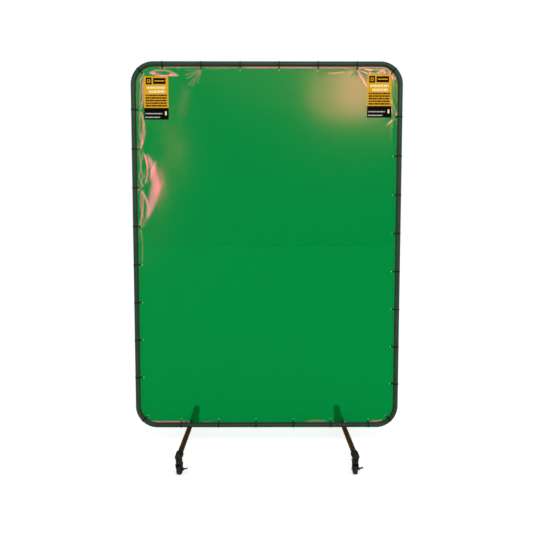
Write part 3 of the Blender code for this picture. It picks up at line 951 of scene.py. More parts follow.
@dataclass(frozen=True)
class Dimple:
    """A shallow oval swelling in the film."""

    centre: Point
    reach: Point
    height: float
    turn: float = 0.0

    def lift(self, x: np.ndarray, z: np.ndarray) -> np.ndarray:
        """Return how far the swelling moves each point along Y."""
        angle = math.radians(self.turn)
        dx, dz = x - self.centre[0], z - self.centre[1]
        u = (dx * math.cos(angle) + dz * math.sin(angle)) / self.reach[0]
        v = (dz * math.cos(angle) - dx * math.sin(angle)) / self.reach[1]
        return self.height * np.exp(-(u ** 2 + v ** 2))


@dataclass(frozen=True)
class PaintedGlint:
    """A painted highlight along a line in the film, through a few points, that pales it."""

    path: tuple[Point, ...]
    width: float
    strength: float
    even: bool = True

    def pale(self, x: np.ndarray, z: np.ndarray) -> np.ndarray:
        """Return how strongly the painted highlight pales each point, from 0 to 1; a narrow line has the
        crisper edge.
        """
        steps = len(self.path) - 1
        found = np.zeros_like(x)
        for index, (a, b) in enumerate(pairwise(self.path)):
            run = np.array(b) - np.array(a)
            share = np.clip(((x - a[0]) * run[0] + (z - a[1]) * run[1]) / float(run @ run), 0.0, 1.0)
            gap = np.hypot(x - a[0] - share * run[0], z - a[1] - share * run[1])
            along = (index + share) / steps
            swell = 1.0 if self.even else 0.35 + 0.65 * np.sin(np.pi * along)
            fade = np.clip(8.0 * np.minimum(along + 0.06, 1.06 - along), 0.0, 1.0)
            shape = 4 if self.width < 10.0 * MM or not self.even else 2
            found = np.maximum(found, fade * np.exp(-(gap / (self.width * swell)) ** shape))
        return self.strength * found


def glint_line(width: float, strength: float, *path: Point, even: bool = True) -> PaintedGlint:
    """Draw a painted highlight line through points in millimetres.

    Args:
        width: Half the line's width, in millimetres.
        strength: How strongly it pales the film, from 0 to 1.
        *path: Its points across and up.
        even: False for a line that is widest half way.

    Returns:
        The painted highlight line.
    """
    return PaintedGlint(tuple((x / 1000, z / 1000) for x, z in path), width * MM, strength, even)


# Painted highlights, laid along the film's creases and margins where they would catch the light.
PAINTED_GLINTS = (
    # the top left corner: a ring round its tie, and the fan from the next one
    glint_line(3.3, 0.78, (-579, 1896), (-552, 1906), (-523, 1908), (-490, 1904), (-460, 1893), (-440, 1882)),
    glint_line(3.3, 0.84, (-579, 1895), (-556, 1887), (-523, 1880), (-483, 1881), (-440, 1882)),
    glint_line(6.0, 0.90, (-480, 1889), (-446, 1881)), glint_line(5.0, 0.85, (-580, 1895), (-550, 1896)),
    glint_line(3.0, 0.45, (-331, 1904), (-404, 1884)), glint_line(3.2, 0.42, (-331, 1902), (-398, 1866)),
    glint_line(3.0, 0.38, (-329, 1900), (-388, 1837)), glint_line(3.0, 0.38, (-328, 1900), (-371, 1834)),
    glint_line(3.0, 0.35, (-325, 1900), (-346, 1844)),
    glint_line(24.0, 0.13, (-398, 1818), (-412, 1760), (-426, 1694)),
    glint_line(3.0, 0.25, (-400, 1905), (-330, 1906)),
    # the left margin, from eyelet to eyelet
    glint_line(3.4, 0.62, (-607, 1886), (-627, 1860), (-624, 1837), (-632, 1753), (-626, 1718)),
    glint_line(3.0, 0.50, (-616, 1869), (-612, 1800), (-613, 1753), (-625, 1718)),
    glint_line(2.6, 0.66, (-624, 1705), (-616, 1655), (-625, 1580), (-628, 1527)),
    glint_line(2.6, 0.55, (-634, 1705), (-632, 1655), (-634, 1600), (-628, 1530)),
    glint_line(5.0, 0.70, (-630, 1600), (-624, 1560), (-628, 1527)),
    glint_line(3.2, 0.66, (-638, 1517), (-632, 1431), (-624, 1385), (-631, 1358), (-620, 1334)),
    glint_line(3.2, 0.60, (-621, 1513), (-632, 1431), (-640, 1385), (-627, 1338)),
    glint_line(3.2, 0.55, (-631, 1318), (-637, 1260), (-630, 1198), (-640, 1145)),
    glint_line(3.4, 0.62, (-620, 1318), (-622, 1250), (-627, 1190), (-640, 1140)),
    glint_line(3.0, 0.42, (-633, 1113), (-628, 1040), (-631, 956)),
    # the patch of painted highlight beside the third eyelet
    glint_line(4.0, 0.85, (-608, 1490), (-601, 1440), (-600, 1395), (-612, 1352)),
    glint_line(23.0, 0.88, (-598, 1492), (-571, 1425), (-561, 1345), (-572, 1280), (-590, 1225), (-602, 1180),
           even=False),
    glint_line(6.5, 0.95, (-628, 1312), (-606, 1268), (-594, 1225), (-600, 1190)),
    glint_line(11.0, 0.36, (-535, 1345), (-560, 1255), (-608, 1172), (-636, 1140)),
    glint_line(16.0, 0.22, (-585, 1470), (-535, 1400), (-525, 1340)),
    # the top edge, the top right corner and the margin below it
    glint_line(3.6, 0.40, (-500, 1922.5), (-133, 1922.5)), glint_line(4.4, 0.88, (-133, 1922.5), (594, 1922.5)),
    glint_line(5.0, 0.40, (300, 1894), (340, 1893), (385, 1899)),
    glint_line(4.4, 0.72, (446, 1908), (472, 1868), (499, 1824)), glint_line(2.8, 0.50, (449, 1908), (486, 1869)),
    glint_line(3.4, 0.66, (452, 1909), (478, 1901), (505, 1888)), glint_line(3.2, 0.42, (438, 1908), (412, 1882)),
    glint_line(4.0, 0.80, (487, 1911), (524, 1908)), glint_line(6.0, 0.85, (509, 1911), (512, 1893)),
    glint_line(5.0, 0.88, (548, 1894), (566, 1904), (582, 1914)), glint_line(4.0, 0.70, (575, 1898), (588, 1908)),
    glint_line(5.2, 0.98, (590, 1920), (620, 1892), (640, 1862)), glint_line(3.4, 0.70, (596, 1902), (632, 1864)),
    glint_line(2.8, 0.50, (616, 1886), (625, 1860), (630, 1834)),
    glint_line(3.4, 0.66, (622, 1756), (636, 1715), (642, 1684)),
    glint_line(3.0, 0.40, (615, 1753), (622, 1715), (628, 1684)),
    glint_line(3.4, 0.50, (638, 1672), (622, 1660), (600, 1642)),
    # the bottom edge
    glint_line(5.0, 0.95, (-604, 128.5), (-510, 128.5), (-413, 128.5)),
    glint_line(4.2, 0.50, (207, 130), (256, 134), (306, 131)),
    glint_line(4.6, 0.80, (538, 128.5), (570, 132), (592, 136)), glint_line(3.0, 0.35, (-330, 128), (-290, 130)))


@dataclass
class FilmCurtain:
    """One sheet of film, stretched between its ties, with the slack and creases that they leave.

    Its grid has three steps: the finest on the lines of painted highlight in the outer band, a fine one along
    the edge and a wide one in the middle.  The fades say how far from the edge each kind of unevenness
    reaches its full height, and the nut's values how the bottom edge passes behind a leg bolt.
    """

    half_x: float = FRAME_HALF_X - TUBE_RADIUS - EDGE_GAP
    low: float = FRAME_LOW_Z + TUBE_RADIUS + EDGE_GAP
    high: float = FRAME_HIGH_Z - TUBE_RADIUS - EDGE_GAP
    corner: float = BEND_RADIUS - TUBE_RADIUS - EDGE_GAP
    thickness: float = 0.4 * MM
    wide_step: float = 15.0 * MM
    fine_step: float = 5.0 * MM
    mark_step: float = 2.3 * MM
    fine_band: float = 0.078
    mark_band: float = 0.150
    eyelet_sides: int = 20
    slack_fade: float = 0.10
    swell_fade: float = 0.030
    ridge_fade: float = 0.006
    pin_reach: float = 0.014
    ironed: float = 2.0 * MM
    ironed_fade: float = 8.0 * MM
    nut_push: float = 9.4 * MM
    nut_dip: float = 4.5 * MM
    nut_level: float = 0.142
    fold_at: Point = (0.6225, 1.8890)
    fold_way: Point = (0.738, 0.675)
    creases: list[Crease] = field(default_factory=list)
    dimples: list[Dimple] = field(default_factory=list)

    def __post_init__(self) -> None:
        """Lay out the creases and swellings."""
        holes = {eye.node: eye.hole for eye in eyelets()}
        for upper, lower, filaments in (("tie_left_1", "tie_left_2", 4), ("tie_left_2", "tie_left_3", 4),
                                        ("tie_left_3", "tie_left_4", 2)):
            self.creases += self.filaments(holes[upper], holes[lower], filaments, 2.2 * MM)
        self.creases += self.filaments(holes["tie_corner_top_left"], holes["tie_left_1"], 3, 1.0 * MM)
        self.creases += self.filaments(holes["tie_right_8"], holes["tie_right_7"], 3, -0.9 * MM)
        self.creases += [
            Crease((-0.628, 1.520), (-0.585, 1.370), 7.0 * MM, 2.2 * MM),
            Crease((-0.628, 1.310), (-0.560, 1.470), 8.0 * MM, 1.6 * MM),
            Crease((0.445, 1.905), (0.560, 1.862), 6.0 * MM, 1.4 * MM),
            Crease((0.445, 1.905), (0.595, 1.892), 5.0 * MM, 1.2 * MM),
            Crease((-0.600, 1.900), (-0.455, 1.884), 6.0 * MM, 1.6 * MM),
            Crease((0.628, 1.770), (0.600, 1.690), 5.0 * MM, -1.2 * MM),
            Crease((-0.355, 1.906), (-0.170, 1.906), 5.0 * MM, -0.6 * MM),
            Crease((-0.150, 1.906), (0.040, 1.906), 5.0 * MM, -0.5 * MM)]
        self.dimples += [
            Dimple((-0.515, 1.894), (0.050, 0.014), 3.2 * MM, 4.0),
            Dimple((-0.582, 1.352), (0.060, 0.115), 5.0 * MM, 6.0),
            Dimple((-0.520, 1.520), (0.130, 0.170), 9.0 * MM, 15.0),
            Dimple((0.520, 1.885), (0.045, 0.016), 2.6 * MM, -8.0),
            Dimple((0.300, 1.720), (0.260, 0.200), -2.5 * MM, 10.0),
            Dimple((0.060, 0.900), (0.350, 0.500), 3.0 * MM),
            Dimple((-0.200, 0.450), (0.250, 0.200), -2.0 * MM)]

    def filaments(self, upper: Vector, lower: Vector, count: int, height: float) -> list[Crease]:
        """Draw tension lines from one eyelet to the next, each bowed further into the sheet.

        Args:
            upper: The first eyelet.
            lower: The second eyelet.
            count: How many lines there are.
            height: How far they stand out.

        Returns:
            The lines.
        """
        inward = -1.0 if upper.x < 0.0 else 1.0
        return [Crease(tuple(upper), tuple(lower), (3.0 + index) * MM, height * (1.0 - 0.15 * index),
                       inward * (-2.0 + 7.0 * index) * MM) for index in range(count)]

    def edge_distance(self, x: np.ndarray, z: np.ndarray) -> np.ndarray:
        """Return each point's distance from the sheet's edge, which is less than 0 outside it."""
        middle, half_z = (self.low + self.high) / 2, (self.high - self.low) / 2
        dx = np.abs(x) - (self.half_x - self.corner)
        dz = np.abs(z - middle) - (half_z - self.corner)
        outside = np.hypot(np.maximum(dx, 0.0), np.maximum(dz, 0.0)) + np.minimum(np.maximum(dx, dz), 0.0)
        return self.corner - outside

    def drape(self, x: np.ndarray, z: np.ndarray) -> np.ndarray:
        """Work out how far the film stands behind the frame's plane; a label irons out the creases under it.

        Args:
            x: The points' places across.
            z: The points' heights.

        Returns:
            Each point's Y.
        """
        edge = self.edge_distance(x, z)
        slack = (1.1 * np.sin(5.1 * x + 1.3) * np.sin(3.3 * z + 0.4) + 0.6 * np.sin(11.0 * x - 3.0 * z + 0.7)
                 + 0.35 * np.sin(9.0 * z + 4.0 * x)) * MM
        pinned = 1.0 - np.exp(-(hole_distance(x, z) / self.pin_reach) ** 2)
        swell = sum(dimple.lift(x, z) for dimple in self.dimples) * eased(edge / self.swell_fade)
        ridges = sum(crease.lift(x, z) for crease in self.creases) * np.clip(edge / self.ridge_fade, 0.0, 1.0)
        loose = np.ones_like(x)
        for _, left, foot in LABEL_SPOTS:
            beside = np.maximum(np.maximum(left - x, x - left - LABEL_SIZE[0]), 0.0)
            beyond = np.maximum(np.maximum(foot - z, z - foot - LABEL_SIZE[1]), 0.0)
            loose = loose * np.clip((np.hypot(beside, beyond) - self.ironed) / self.ironed_fade, 0.0, 1.0)
        rest = self.eyelet_fans(x, z) * loose + self.curls(x, z) + self.nut_bulges(x, z)
        return slack * eased(edge / self.slack_fade) + (swell + ridges * loose) * pinned + rest

    def eyelet_fans(self, x: np.ndarray, z: np.ndarray) -> np.ndarray:
        """Return the small fans of wrinkles that spread from each eyelet."""
        draw = random.Random(7)
        depth = np.zeros_like(x)
        for eye in eyelets():
            strength, turn = draw.uniform(0.10, 0.55), draw.uniform(0.0, 6.28)
            if eye.node in HARD_PULLED:
                strength = 1.1
            dx, dz = x - eye.hole.x, z - eye.hole.y
            reach = np.hypot(dx, dz)
            way = np.arctan2(dx * eye.inwards.y - dz * eye.inwards.x, dx * eye.inwards.x + dz * eye.inwards.y)
            fan = np.cos(5.0 * way + turn) * np.exp(-reach / 0.022) * (1.0 - np.exp(-(reach / 0.007) ** 2))
            depth += strength * 1.5 * MM * fan
        return depth

    def curls(self, x: np.ndarray, z: np.ndarray) -> np.ndarray:
        """Return how the margins roll back: along the top, parts of the bottom, and the top right corner."""
        def stretch(start: float, end: float, soft: float = 0.02) -> np.ndarray:
            """Return 1 between two places across, and 0 outside them."""
            return 1.0 / (1.0 + np.exp(-(x - start) / soft * 4)) / (1.0 + np.exp((x - end) / soft * 4))

        top = np.clip((z - (self.high - 9.0 * MM)) / (9.0 * MM), 0.0, 1.0) ** 2
        rolled = 2.0 * MM * top * stretch(-0.53, 0.56)
        bottom = np.clip(((self.low + 8.0 * MM) - z) / (8.0 * MM), 0.0, 1.0) ** 2
        flared = stretch(-0.590, -0.410, 0.01) + stretch(0.205, 0.305, 0.01) + stretch(0.540, 0.590, 0.01)
        rolled = rolled + 2.5 * MM * bottom * flared
        beyond = (x - self.fold_at[0]) * self.fold_way[0] + (z - self.fold_at[1]) * self.fold_way[1]
        turned_back = np.clip((beyond + 3.0 * MM) / (6.0 * MM), 0.0, 1.0) ** 2 * 3.0 * MM
        return rolled + np.minimum(turned_back, 2.2 * MM)

    def nut_bulges(self, x: np.ndarray, z: np.ndarray) -> np.ndarray:
        """Return how the bottom edge passes behind each leg bolt's nut."""
        beside = np.abs(np.abs(x) - LEG_X)
        across, up = eased((beside - 9.0 * MM) / (22.0 * MM)), eased((z - self.nut_level) / 0.045)
        return self.nut_push * (1.0 - across) * (1.0 - up)

    def points(self) -> tuple[list[Vector], list[tuple[int, int]]]:
        """Lay out the flat sheet's points: its edge, its eyelets, and a grid that is finer at the edge.

        Returns:
            The points in X and Z, and the edges that have to be kept.
        """
        middle_x, rise, sink = self.half_x - self.corner, self.high - self.corner, self.low + self.corner
        rim = [point for x, z, start in ((middle_x, sink, -90), (middle_x, rise, 0), (-middle_x, rise, 90),
                                         (-middle_x, sink, 180))
               for point in arc((x, z), self.corner, start, start + 90, 18)]
        edge: list[Point] = []
        for here, there in pairwise([*rim, rim[0]]):
            steps = max(1, round(math.dist(here, there) / self.fine_step))
            edge += [(here[0] + (there[0] - here[0]) * s / steps, here[1] + (there[1] - here[1]) * s / steps)
                     for s in range(steps)]
        middles = [tuple(eye.hole) for eye in eyelets()]
        loops = [edge, *(arc(middle, HOLE_RADIUS, 0.0, 360.0, self.eyelet_sides)[:-1] for middle in middles)]
        points: list[Vector] = []
        kept: list[tuple[int, int]] = []
        for loop in loops:
            start = len(points)
            points += [Vector(point) for point in loop]
            kept += [(start + index, start + (index + 1) % len(loop)) for index in range(len(loop))]
        for middle in middles:
            ring = arc(middle, HOLE_RADIUS + 2.2 * MM, 9.0, 369.0, self.eyelet_sides)[:-1]
            points += [Vector(point) for point in ring]
        points += self.grid()
        return points, kept

    def grid(self) -> list[Vector]:
        """List the points inside the sheet.

        Returns:
            The finest grid on the lines of painted highlight, a fine one near the edge and a wide one in the
            middle, all clear of the eyelets.
        """
        found = []
        for step, nearest, farthest in (
                (self.mark_step, 0.6 * self.mark_step, self.mark_band),
                (self.fine_step, 0.6 * self.fine_step, self.fine_band),
                (self.wide_step, self.fine_band + 0.3 * self.wide_step, math.inf)):
            columns = np.arange(-self.half_x, self.half_x, step)
            rows = np.arange(self.low, self.high, step * 0.866)
            x, z = np.meshgrid(columns, rows)
            x[1::2] += step / 2
            x, z = x.ravel(), z.ravel()
            edge = self.edge_distance(x, z)
            within = (edge > nearest) & (edge < farthest)
            x, z, edge = x[within], z[within], edge[within]
            # The lines of painted highlight get the finest grid.
            marked = (self.glint_share(x, z) > 0.03) & (edge < self.mark_band)
            wanted = marked if step == self.mark_step else ~marked
            chosen = wanted & (hole_distance(x, z) > HOLE_RADIUS + 3.2 * MM)
            found += [Vector((float(a), float(b))) for a, b in zip(x[chosen], z[chosen])]
        return found

    def glint_share(self, x: np.ndarray, z: np.ndarray) -> np.ndarray:
        """Return how strongly the painted highlights pale each point, from 0 to 1."""
        return 1.0 - np.prod([1.0 - bruise.pale(x, z) for bruise in PAINTED_GLINTS], axis=0)

    def build(self) -> bpy.types.Object:
        """Make the curtain.

        Returns:
            The sheet.
        """
        points, kept = self.points()
        flat, _, faces, *_ = delaunay_2d_cdt(points, kept, [], 0, 1.0e-7)
        x = np.array([point.x for point in flat])
        z = np.array([point.y for point in flat])
        corners = np.array(faces)
        middle_x, middle_z = x[corners].mean(axis=1), z[corners].mean(axis=1)
        inside = self.edge_distance(middle_x, middle_z) > 0.0
        chosen = corners[inside & (hole_distance(middle_x, middle_z) > HOLE_RADIUS)]
        y = self.drape(x, z)
        sunk = np.clip((self.nut_level - z) / (self.nut_level - self.low), 0.0, 1.0)
        dip = self.nut_bulges(x, z) / self.nut_push * sunk * self.nut_dip
        mesh = bpy.data.meshes.new("curtain_film")
        mesh.from_pydata(np.column_stack((x, y, z - dip)).tolist(), [], chosen.tolist())
        layer = mesh.uv_layers.new(name="flat_cut")
        width, height = 2 * self.half_x, self.high - self.low
        for loop in mesh.loops:
            place = mesh.vertices[loop.vertex_index].co
            layer.data[loop.index].uv = ((place.x + self.half_x) / width, (place.z - self.low) / height)
        # The painted highlights go on the sheet as a point attribute.
        mark = mesh.attributes.new("bruise", "FLOAT", "POINT")
        mark.data.foreach_set("value", self.glint_share(x, z).astype(np.float32))
        sheet = linked(bpy.data.objects.new("curtain_film", mesh))
        enter_edit(sheet)
        bpy.ops.mesh.delete_loose()
        close_edit(sheet)
        with_modifier(sheet, "SOLIDIFY", thickness=self.thickness, offset=0.0)
        fitted(sheet, "curtain_film", FILM, "frame", ["curtain"], 60.0)
        return sheet


@dataclass
class CableTies:
    """The ties that hold the curtain: one pattern, copied to each eyelet."""

    width: float = 4.8 * MM
    thickness: float = 1.3 * MM
    nose_inside: float = 1.2 * MM
    head: Triple = (8.0 * MM, 4.5 * MM, 7.5 * MM)

    def strap(self) -> bpy.types.Object:
        """Draw the strap round the tube and through the eyelet, which lies towards +X.

        Returns:
            A closed loop.
        """
        room = self.width / 2 + GAP
        chord = math.sqrt(EYELET_RADIUS ** 2 - room ** 2)
        nose_at = TUBE_RADIUS + EYELET_INSET - chord + GAP - self.nose_inside
        around = TUBE_RADIUS + GAP + self.thickness / 2
        nose = self.nose_inside + self.thickness / 2
        lean = math.degrees(math.acos((around - nose) / nose_at))
        flat = math.sqrt(nose_at ** 2 - (around - nose) ** 2)
        out = Vector((math.cos(math.radians(lean)), math.sin(math.radians(lean)), 0.0))
        along = Z_AXIS.cross(out)
        deselect_all()
        bpy.ops.mesh.primitive_plane_add(size=1.0)
        piece = bpy.context.object
        enter_edit(piece)
        bpy.ops.transform.resize(value=(self.thickness, self.width, 1.0), center_override=(0.0, 0.0, 0.0))
        bpy.ops.mesh.bevel(offset=0.35 * MM, segments=2, affect="VERTICES")
        bpy.ops.mesh.select_all(action="SELECT")
        bpy.ops.mesh.delete(type="ONLY_FACE")
        bpy.ops.object.mode_set(mode="OBJECT")
        turn = Matrix((out, -Z_AXIS, along)).transposed().to_4x4()
        moved(piece, Matrix.Translation(out * around) @ turn)
        enter_edit(piece)
        run = Run(piece, out * around, along)
        run.bend(Z_AXIS, around, 360.0 - 2 * lean, 36).straight(flat)
        run.bend(Z_AXIS, nose, 2 * lean, 10).straight(flat)
        return run.close()

    def pattern(self) -> bpy.types.Object:
        """Make one whole tie about the tube's centre, with its locking head at the back.

        Returns:
            The tie.
        """
        length, depth, across = self.head
        foot = TUBE_RADIUS + GAP + self.thickness / 2
        block = box((-length / 2, foot, -across / 2), (length / 2, foot + depth, across / 2), 0.5 * MM)
        window = box((-1.5 * MM, foot + 1.8 * MM, -2.7 * MM), (1.5 * MM, foot + depth + MM, 2.7 * MM))
        tail = box((-0.65 * MM, foot + 1.0 * MM, -2.3 * MM), (0.65 * MM, foot + depth + 1.6 * MM, 2.3 * MM),
                   0.25 * MM, 2)
        combined(block, [window], "DIFFERENCE")
        return combined(self.strap(), [block, tail], "UNION")

    def build(self) -> int:
        """Copy the tie to every eyelet.

        Returns:
            How many ties there are.
        """
        pattern = self.pattern()
        places = eyelets()
        for eye in places:
            across = Vector((eye.inwards.x, 0.0, eye.inwards.y))
            turn = Matrix((across, Y_AXIS, across.cross(Y_AXIS))).transposed().to_4x4()
            place = Matrix.Translation((eye.place.x, 0.0, eye.place.y)) @ turn
            twin = copied(pattern, f"{eye.node}_nylon", place)
            fitted(twin, twin.name, TIE_NYLON, "frame", [eye.node], 40.0)
        discard(pattern)
        return len(places)


@dataclass(frozen=True)
class Patch:
    """A printed rectangle, as fractions of a label's width and of its height from the top."""

    left: float
    right: float
    top: float
    bottom: float
    ink: Finish


@dataclass
class Label:
    """A printed vinyl label on the front of the curtain, with plain bars in place of any words."""

    name: str
    left: float
    low: float
    curtain: FilmCurtain
    width: float = LABEL_SIZE[0]
    height: float = LABEL_SIZE[1]
    thickness: float = 0.12 * MM
    mesh_step: float = 5.0 * MM

    def patches(self) -> list[Patch]:
        """List what is printed on the label, from the ground up.

        Returns:
            The patches; a later one lies over an earlier one.
        """
        draw = random.Random(11)
        found = [Patch(0.0, 1.0, 0.73, 1.0, BLACK_INK), Patch(0.08, 0.32, 0.03, 0.19, BLACK_INK),
                 Patch(0.14, 0.26, 0.070, 0.150, AMBER_INK), Patch(0.17, 0.23, 0.090, 0.130, BLACK_INK),
                 Patch(0.38, 0.89, 0.04, 0.18, BLACK_INK), Patch(0.43, 0.84, 0.095, 0.120, AMBER_INK),
                 Patch(0.85, 0.92, 0.81, 0.90, CREAM_INK)]
        rows = [(0.235, 0.290, 0.12, 0.88, CREAM_INK), (0.325, 0.385, 0.20, 0.86, CREAM_INK)]
        rows += [(at - 0.018, at + 0.018, 0.06, 0.94, BROWN_INK) for at in (0.44, 0.50, 0.56, 0.62, 0.68)]
        rows += [(0.850, 0.875, 0.06, 0.74, GREY_INK), (0.935, 0.960, 0.04, 0.64, GREY_INK)]
        for top, bottom, start, end, ink in rows:
            at = start
            while at < end:
                stop = min(at + draw.choice((0.07, 0.11, 0.15)), end)
                found.append(Patch(at, stop, top, bottom, ink))
                at = stop + 0.018
        return found

    def build(self) -> bpy.types.Object:
        """Cut the sheet along its print, lay it on the film and ink its faces.

        Returns:
            The label.
        """
        patches = self.patches()
        deselect_all()
        centre = (self.left + self.width / 2, 0.0, self.low + self.height / 2)
        bpy.ops.mesh.primitive_plane_add(size=1.0, location=centre, rotation=(math.radians(90.0), 0.0, 0.0))
        piece = bpy.context.object
        piece.scale = (self.width, self.height, 1.0)
        bpy.ops.object.transform_apply(location=True, rotation=True, scale=True)
        edges_x = [self.width * u for p in patches for u in (p.left, p.right)]
        edges_z = [self.height * (1.0 - v) for p in patches for v in (p.top, p.bottom)]
        enter_edit(piece)
        for along, start, length, edges in ((X_AXIS, self.left, self.width, edges_x),
                                            (Z_AXIS, self.low, self.height, edges_z)):
            steps = [self.mesh_step * index for index in range(1, int(length / self.mesh_step))]
            for cut in sorted({round(start + place, 6) for place in (*edges, *steps)}):
                bpy.ops.mesh.select_all(action="SELECT")
                bpy.ops.mesh.bisect(plane_co=along * cut, plane_no=along)
        bpy.ops.mesh.select_all(action="SELECT")
        bpy.ops.mesh.remove_doubles(threshold=0.02 * MM)
        bpy.ops.object.mode_set(mode="OBJECT")
        inks = [AMBER_INK, BLACK_INK, CREAM_INK, BROWN_INK, GREY_INK]
        for ink in inks:
            piece.data.materials.append(ink.material())
        for face in piece.data.polygons:
            u = (face.center.x - self.left) / self.width
            v = 1.0 - (face.center.z - self.low) / self.height
            for patch in patches:
                if patch.left < u < patch.right and patch.top < v < patch.bottom:
                    face.material_index = inks.index(patch.ink)
        x = np.array([vertex.co.x for vertex in piece.data.vertices])
        z = np.array([vertex.co.z for vertex in piece.data.vertices])
        depth = self.curtain.drape(x, z) - self.curtain.thickness / 2 - 0.15 * MM
        for vertex, y in zip(piece.data.vertices, depth):
            vertex.co.y = float(y)
        with_modifier(piece, "SOLIDIFY", thickness=self.thickness, offset=0.0)
        return fitted(piece, self.name, None, "frame", (), 50.0)


# --------------------------------------------------------------------------- the legs and castors
@dataclass(frozen=True)
class Corner:
    """One castored corner: its leg, which end of it, and how the castor is turned about its stem."""

    end: str
    side: str
    turn: float

    @property
    def name(self) -> str:
        """The corner's name."""
        return f"{self.end}_{self.side}"

    @property
    def place(self) -> Matrix:
        """The move from the origin to the corner's stem axis, with the leg towards +Y."""
        x = LEG_X if self.side == "right" else -LEG_X
        y, turn = (-LEG_REACH, 0.0) if self.end == "front" else (LEG_REACH, math.pi)
        return Matrix.Translation((x, y, 0.0)) @ Matrix.Rotation(turn, 4, "Z")

    @property
    def swivelled(self) -> Matrix:
        """The move to the corner for what turns with the castor."""
        return self.place @ Matrix.Rotation(math.radians(self.turn), 4, "Z")


CORNERS = (Corner("front", "left", -8.0), Corner("front", "right", 0.0), Corner("rear", "left", 0.0),
           Corner("rear", "right", 0.0))


@dataclass
class CrossLegs:
    """Two cross legs, each a tube with a moulded elbow at both ends and a clamp round each elbow's boss."""

    barrel: float = TUBE_RADIUS + GAP + 3.7 * MM
    length: float = 40.0 * MM
    boss: float = 12.5 * MM
    boss_foot: float = 65.0 * MM
    stem_radius: float = 5.0 * MM
    stem_top: float = 93.7 * MM
    voxel: float = 0.75 * MM

    def tube(self, x: float) -> bpy.types.Object:
        """Draw one leg's tube along Y, between its elbows."""
        half = LEG_REACH - self.stem_radius - 2 * GAP - 3.5 * MM
        run = Run.of_ring(Vector((x, -half, LEG_Z)), Y_AXIS, TUBE_RADIUS - 0.4 * MM)
        run.neck(TUBE_RADIUS, 0.4 * MM).straight(2 * half - 0.8 * MM).neck(TUBE_RADIUS - 0.4 * MM, 0.4 * MM)
        return run.close(TUBE_WALL)

    def elbow(self) -> bpy.types.Object:
        """Mould one elbow on the stem's axis, with its mouth towards +Y.

        Returns:
            The elbow, with its corners blended as a moulding's are.
        """
        bulb, lip = self.barrel + 0.9 * MM, self.barrel + 1.4 * MM
        end = arc((0.0, 0.0), bulb, -82.5, 0.0, 11)
        collar = [(self.barrel, 14.0 * MM), (self.barrel, 24.0 * MM), (lip, 26.0 * MM), (lip, 38.5 * MM),
                  (self.barrel, self.length)]
        body = turned([*end, *collar], 64, LYING_Y)
        moved(body, Matrix.Translation((0.0, 0.0, LEG_Z)))
        foot = turned([(self.boss - 0.6 * MM, self.boss_foot), (self.boss, self.boss_foot + 0.6 * MM),
                       (self.boss, self.boss_foot + 6.0 * MM),
                       (self.boss + 1.2 * MM, self.boss_foot + 14.0 * MM), (self.boss + 2.0 * MM, LEG_Z)], 64)
        combined(body, [foot], "UNION")
        with_modifier(body, "REMESH", mode="VOXEL", voxel_size=self.voxel, adaptivity=0.0)
        with_modifier(body, "SMOOTH", factor=0.5, iterations=6)
        bore = TUBE_RADIUS + GAP
        tube_hole = turned([(bore, 8.8 * MM), (bore, self.length + 2 * MM)], 64, LYING_Y)
        moved(tube_hole, Matrix.Translation((0.0, 0.0, LEG_Z)))
        stem_hole = turned([(self.stem_radius + GAP, self.boss_foot - 2 * MM),
                            (self.stem_radius + GAP, self.stem_top + GAP)], SMALL_SIDES)
        return combined(body, [tube_hole, stem_hole], "DIFFERENCE")

    def clamp(self) -> bpy.types.Object:
        """Make the plated band clamp round the boss, with its worm screw towards +X.

        Returns:
            The clamp.
        """
        low, high, outside = 67.5 * MM, 75.5 * MM, self.boss + 1.0 * MM
        inside = self.boss + 0.1 * MM
        middle = (low + high) / 2
        band = turned([(inside, low), (outside, low), (outside, high), (inside, high)], ring=True)
        housing = box((self.boss + 0.4 * MM, -3.2 * MM, low - 0.4 * MM),
                      (self.boss + 5.0 * MM, 5.0 * MM, high + 0.4 * MM), 1.0 * MM)
        along = Matrix.Translation((self.boss + 3.0 * MM, -11.0 * MM, middle)) @ LYING_Y
        screw = turned(in_mm((2.4, 0.0), (3.2, 0.6), (3.2, 3.2), (2.2, 3.6), (2.2, 9.0)), SMALL_SIDES, along)
        cut = box((self.boss - 1.0 * MM, -12.0 * MM, middle - 0.45 * MM),
                  (self.boss + 7.0 * MM, -9.8 * MM, middle + 0.45 * MM))
        combined(screw, [cut], "DIFFERENCE")
        return combined(band, [housing, screw], "UNION")

    def build(self) -> int:
        """Make both legs with their elbows and clamps.

        Returns:
            How many pieces there are.
        """
        for side, x in (("left", -LEG_X), ("right", LEG_X)):
            fitted(self.tube(x), f"{side}_leg_tube", LEG_COAT, f"{side}_leg", [f"{side}_leg"])
        elbow, clamp = self.elbow(), self.clamp()
        for corner in CORNERS:
            body = f"{corner.side}_leg"
            twin = copied(elbow, f"{corner.name}_elbow_moulding", corner.place)
            fitted(twin, twin.name, ELBOW_NYLON, body, [f"{corner.name}_elbow"], 40.0)
            inner = math.pi if (corner.side == "right") == (corner.end == "front") else 0.0
            band = copied(clamp, f"{corner.name}_clamp", corner.place @ Matrix.Rotation(inner, 4, "Z"))
            fitted(band, band.name, BLACK_ZINC, body)
            band.data.materials.append(ZINC.material())
            for face in band.data.polygons:
                reach = (face.center - corner.place.translation).xy.length
                face.material_index = int(reach > self.boss + 1.3 * MM)
        discard(elbow)
        discard(clamp)
        return 2 + 2 * len(CORNERS)


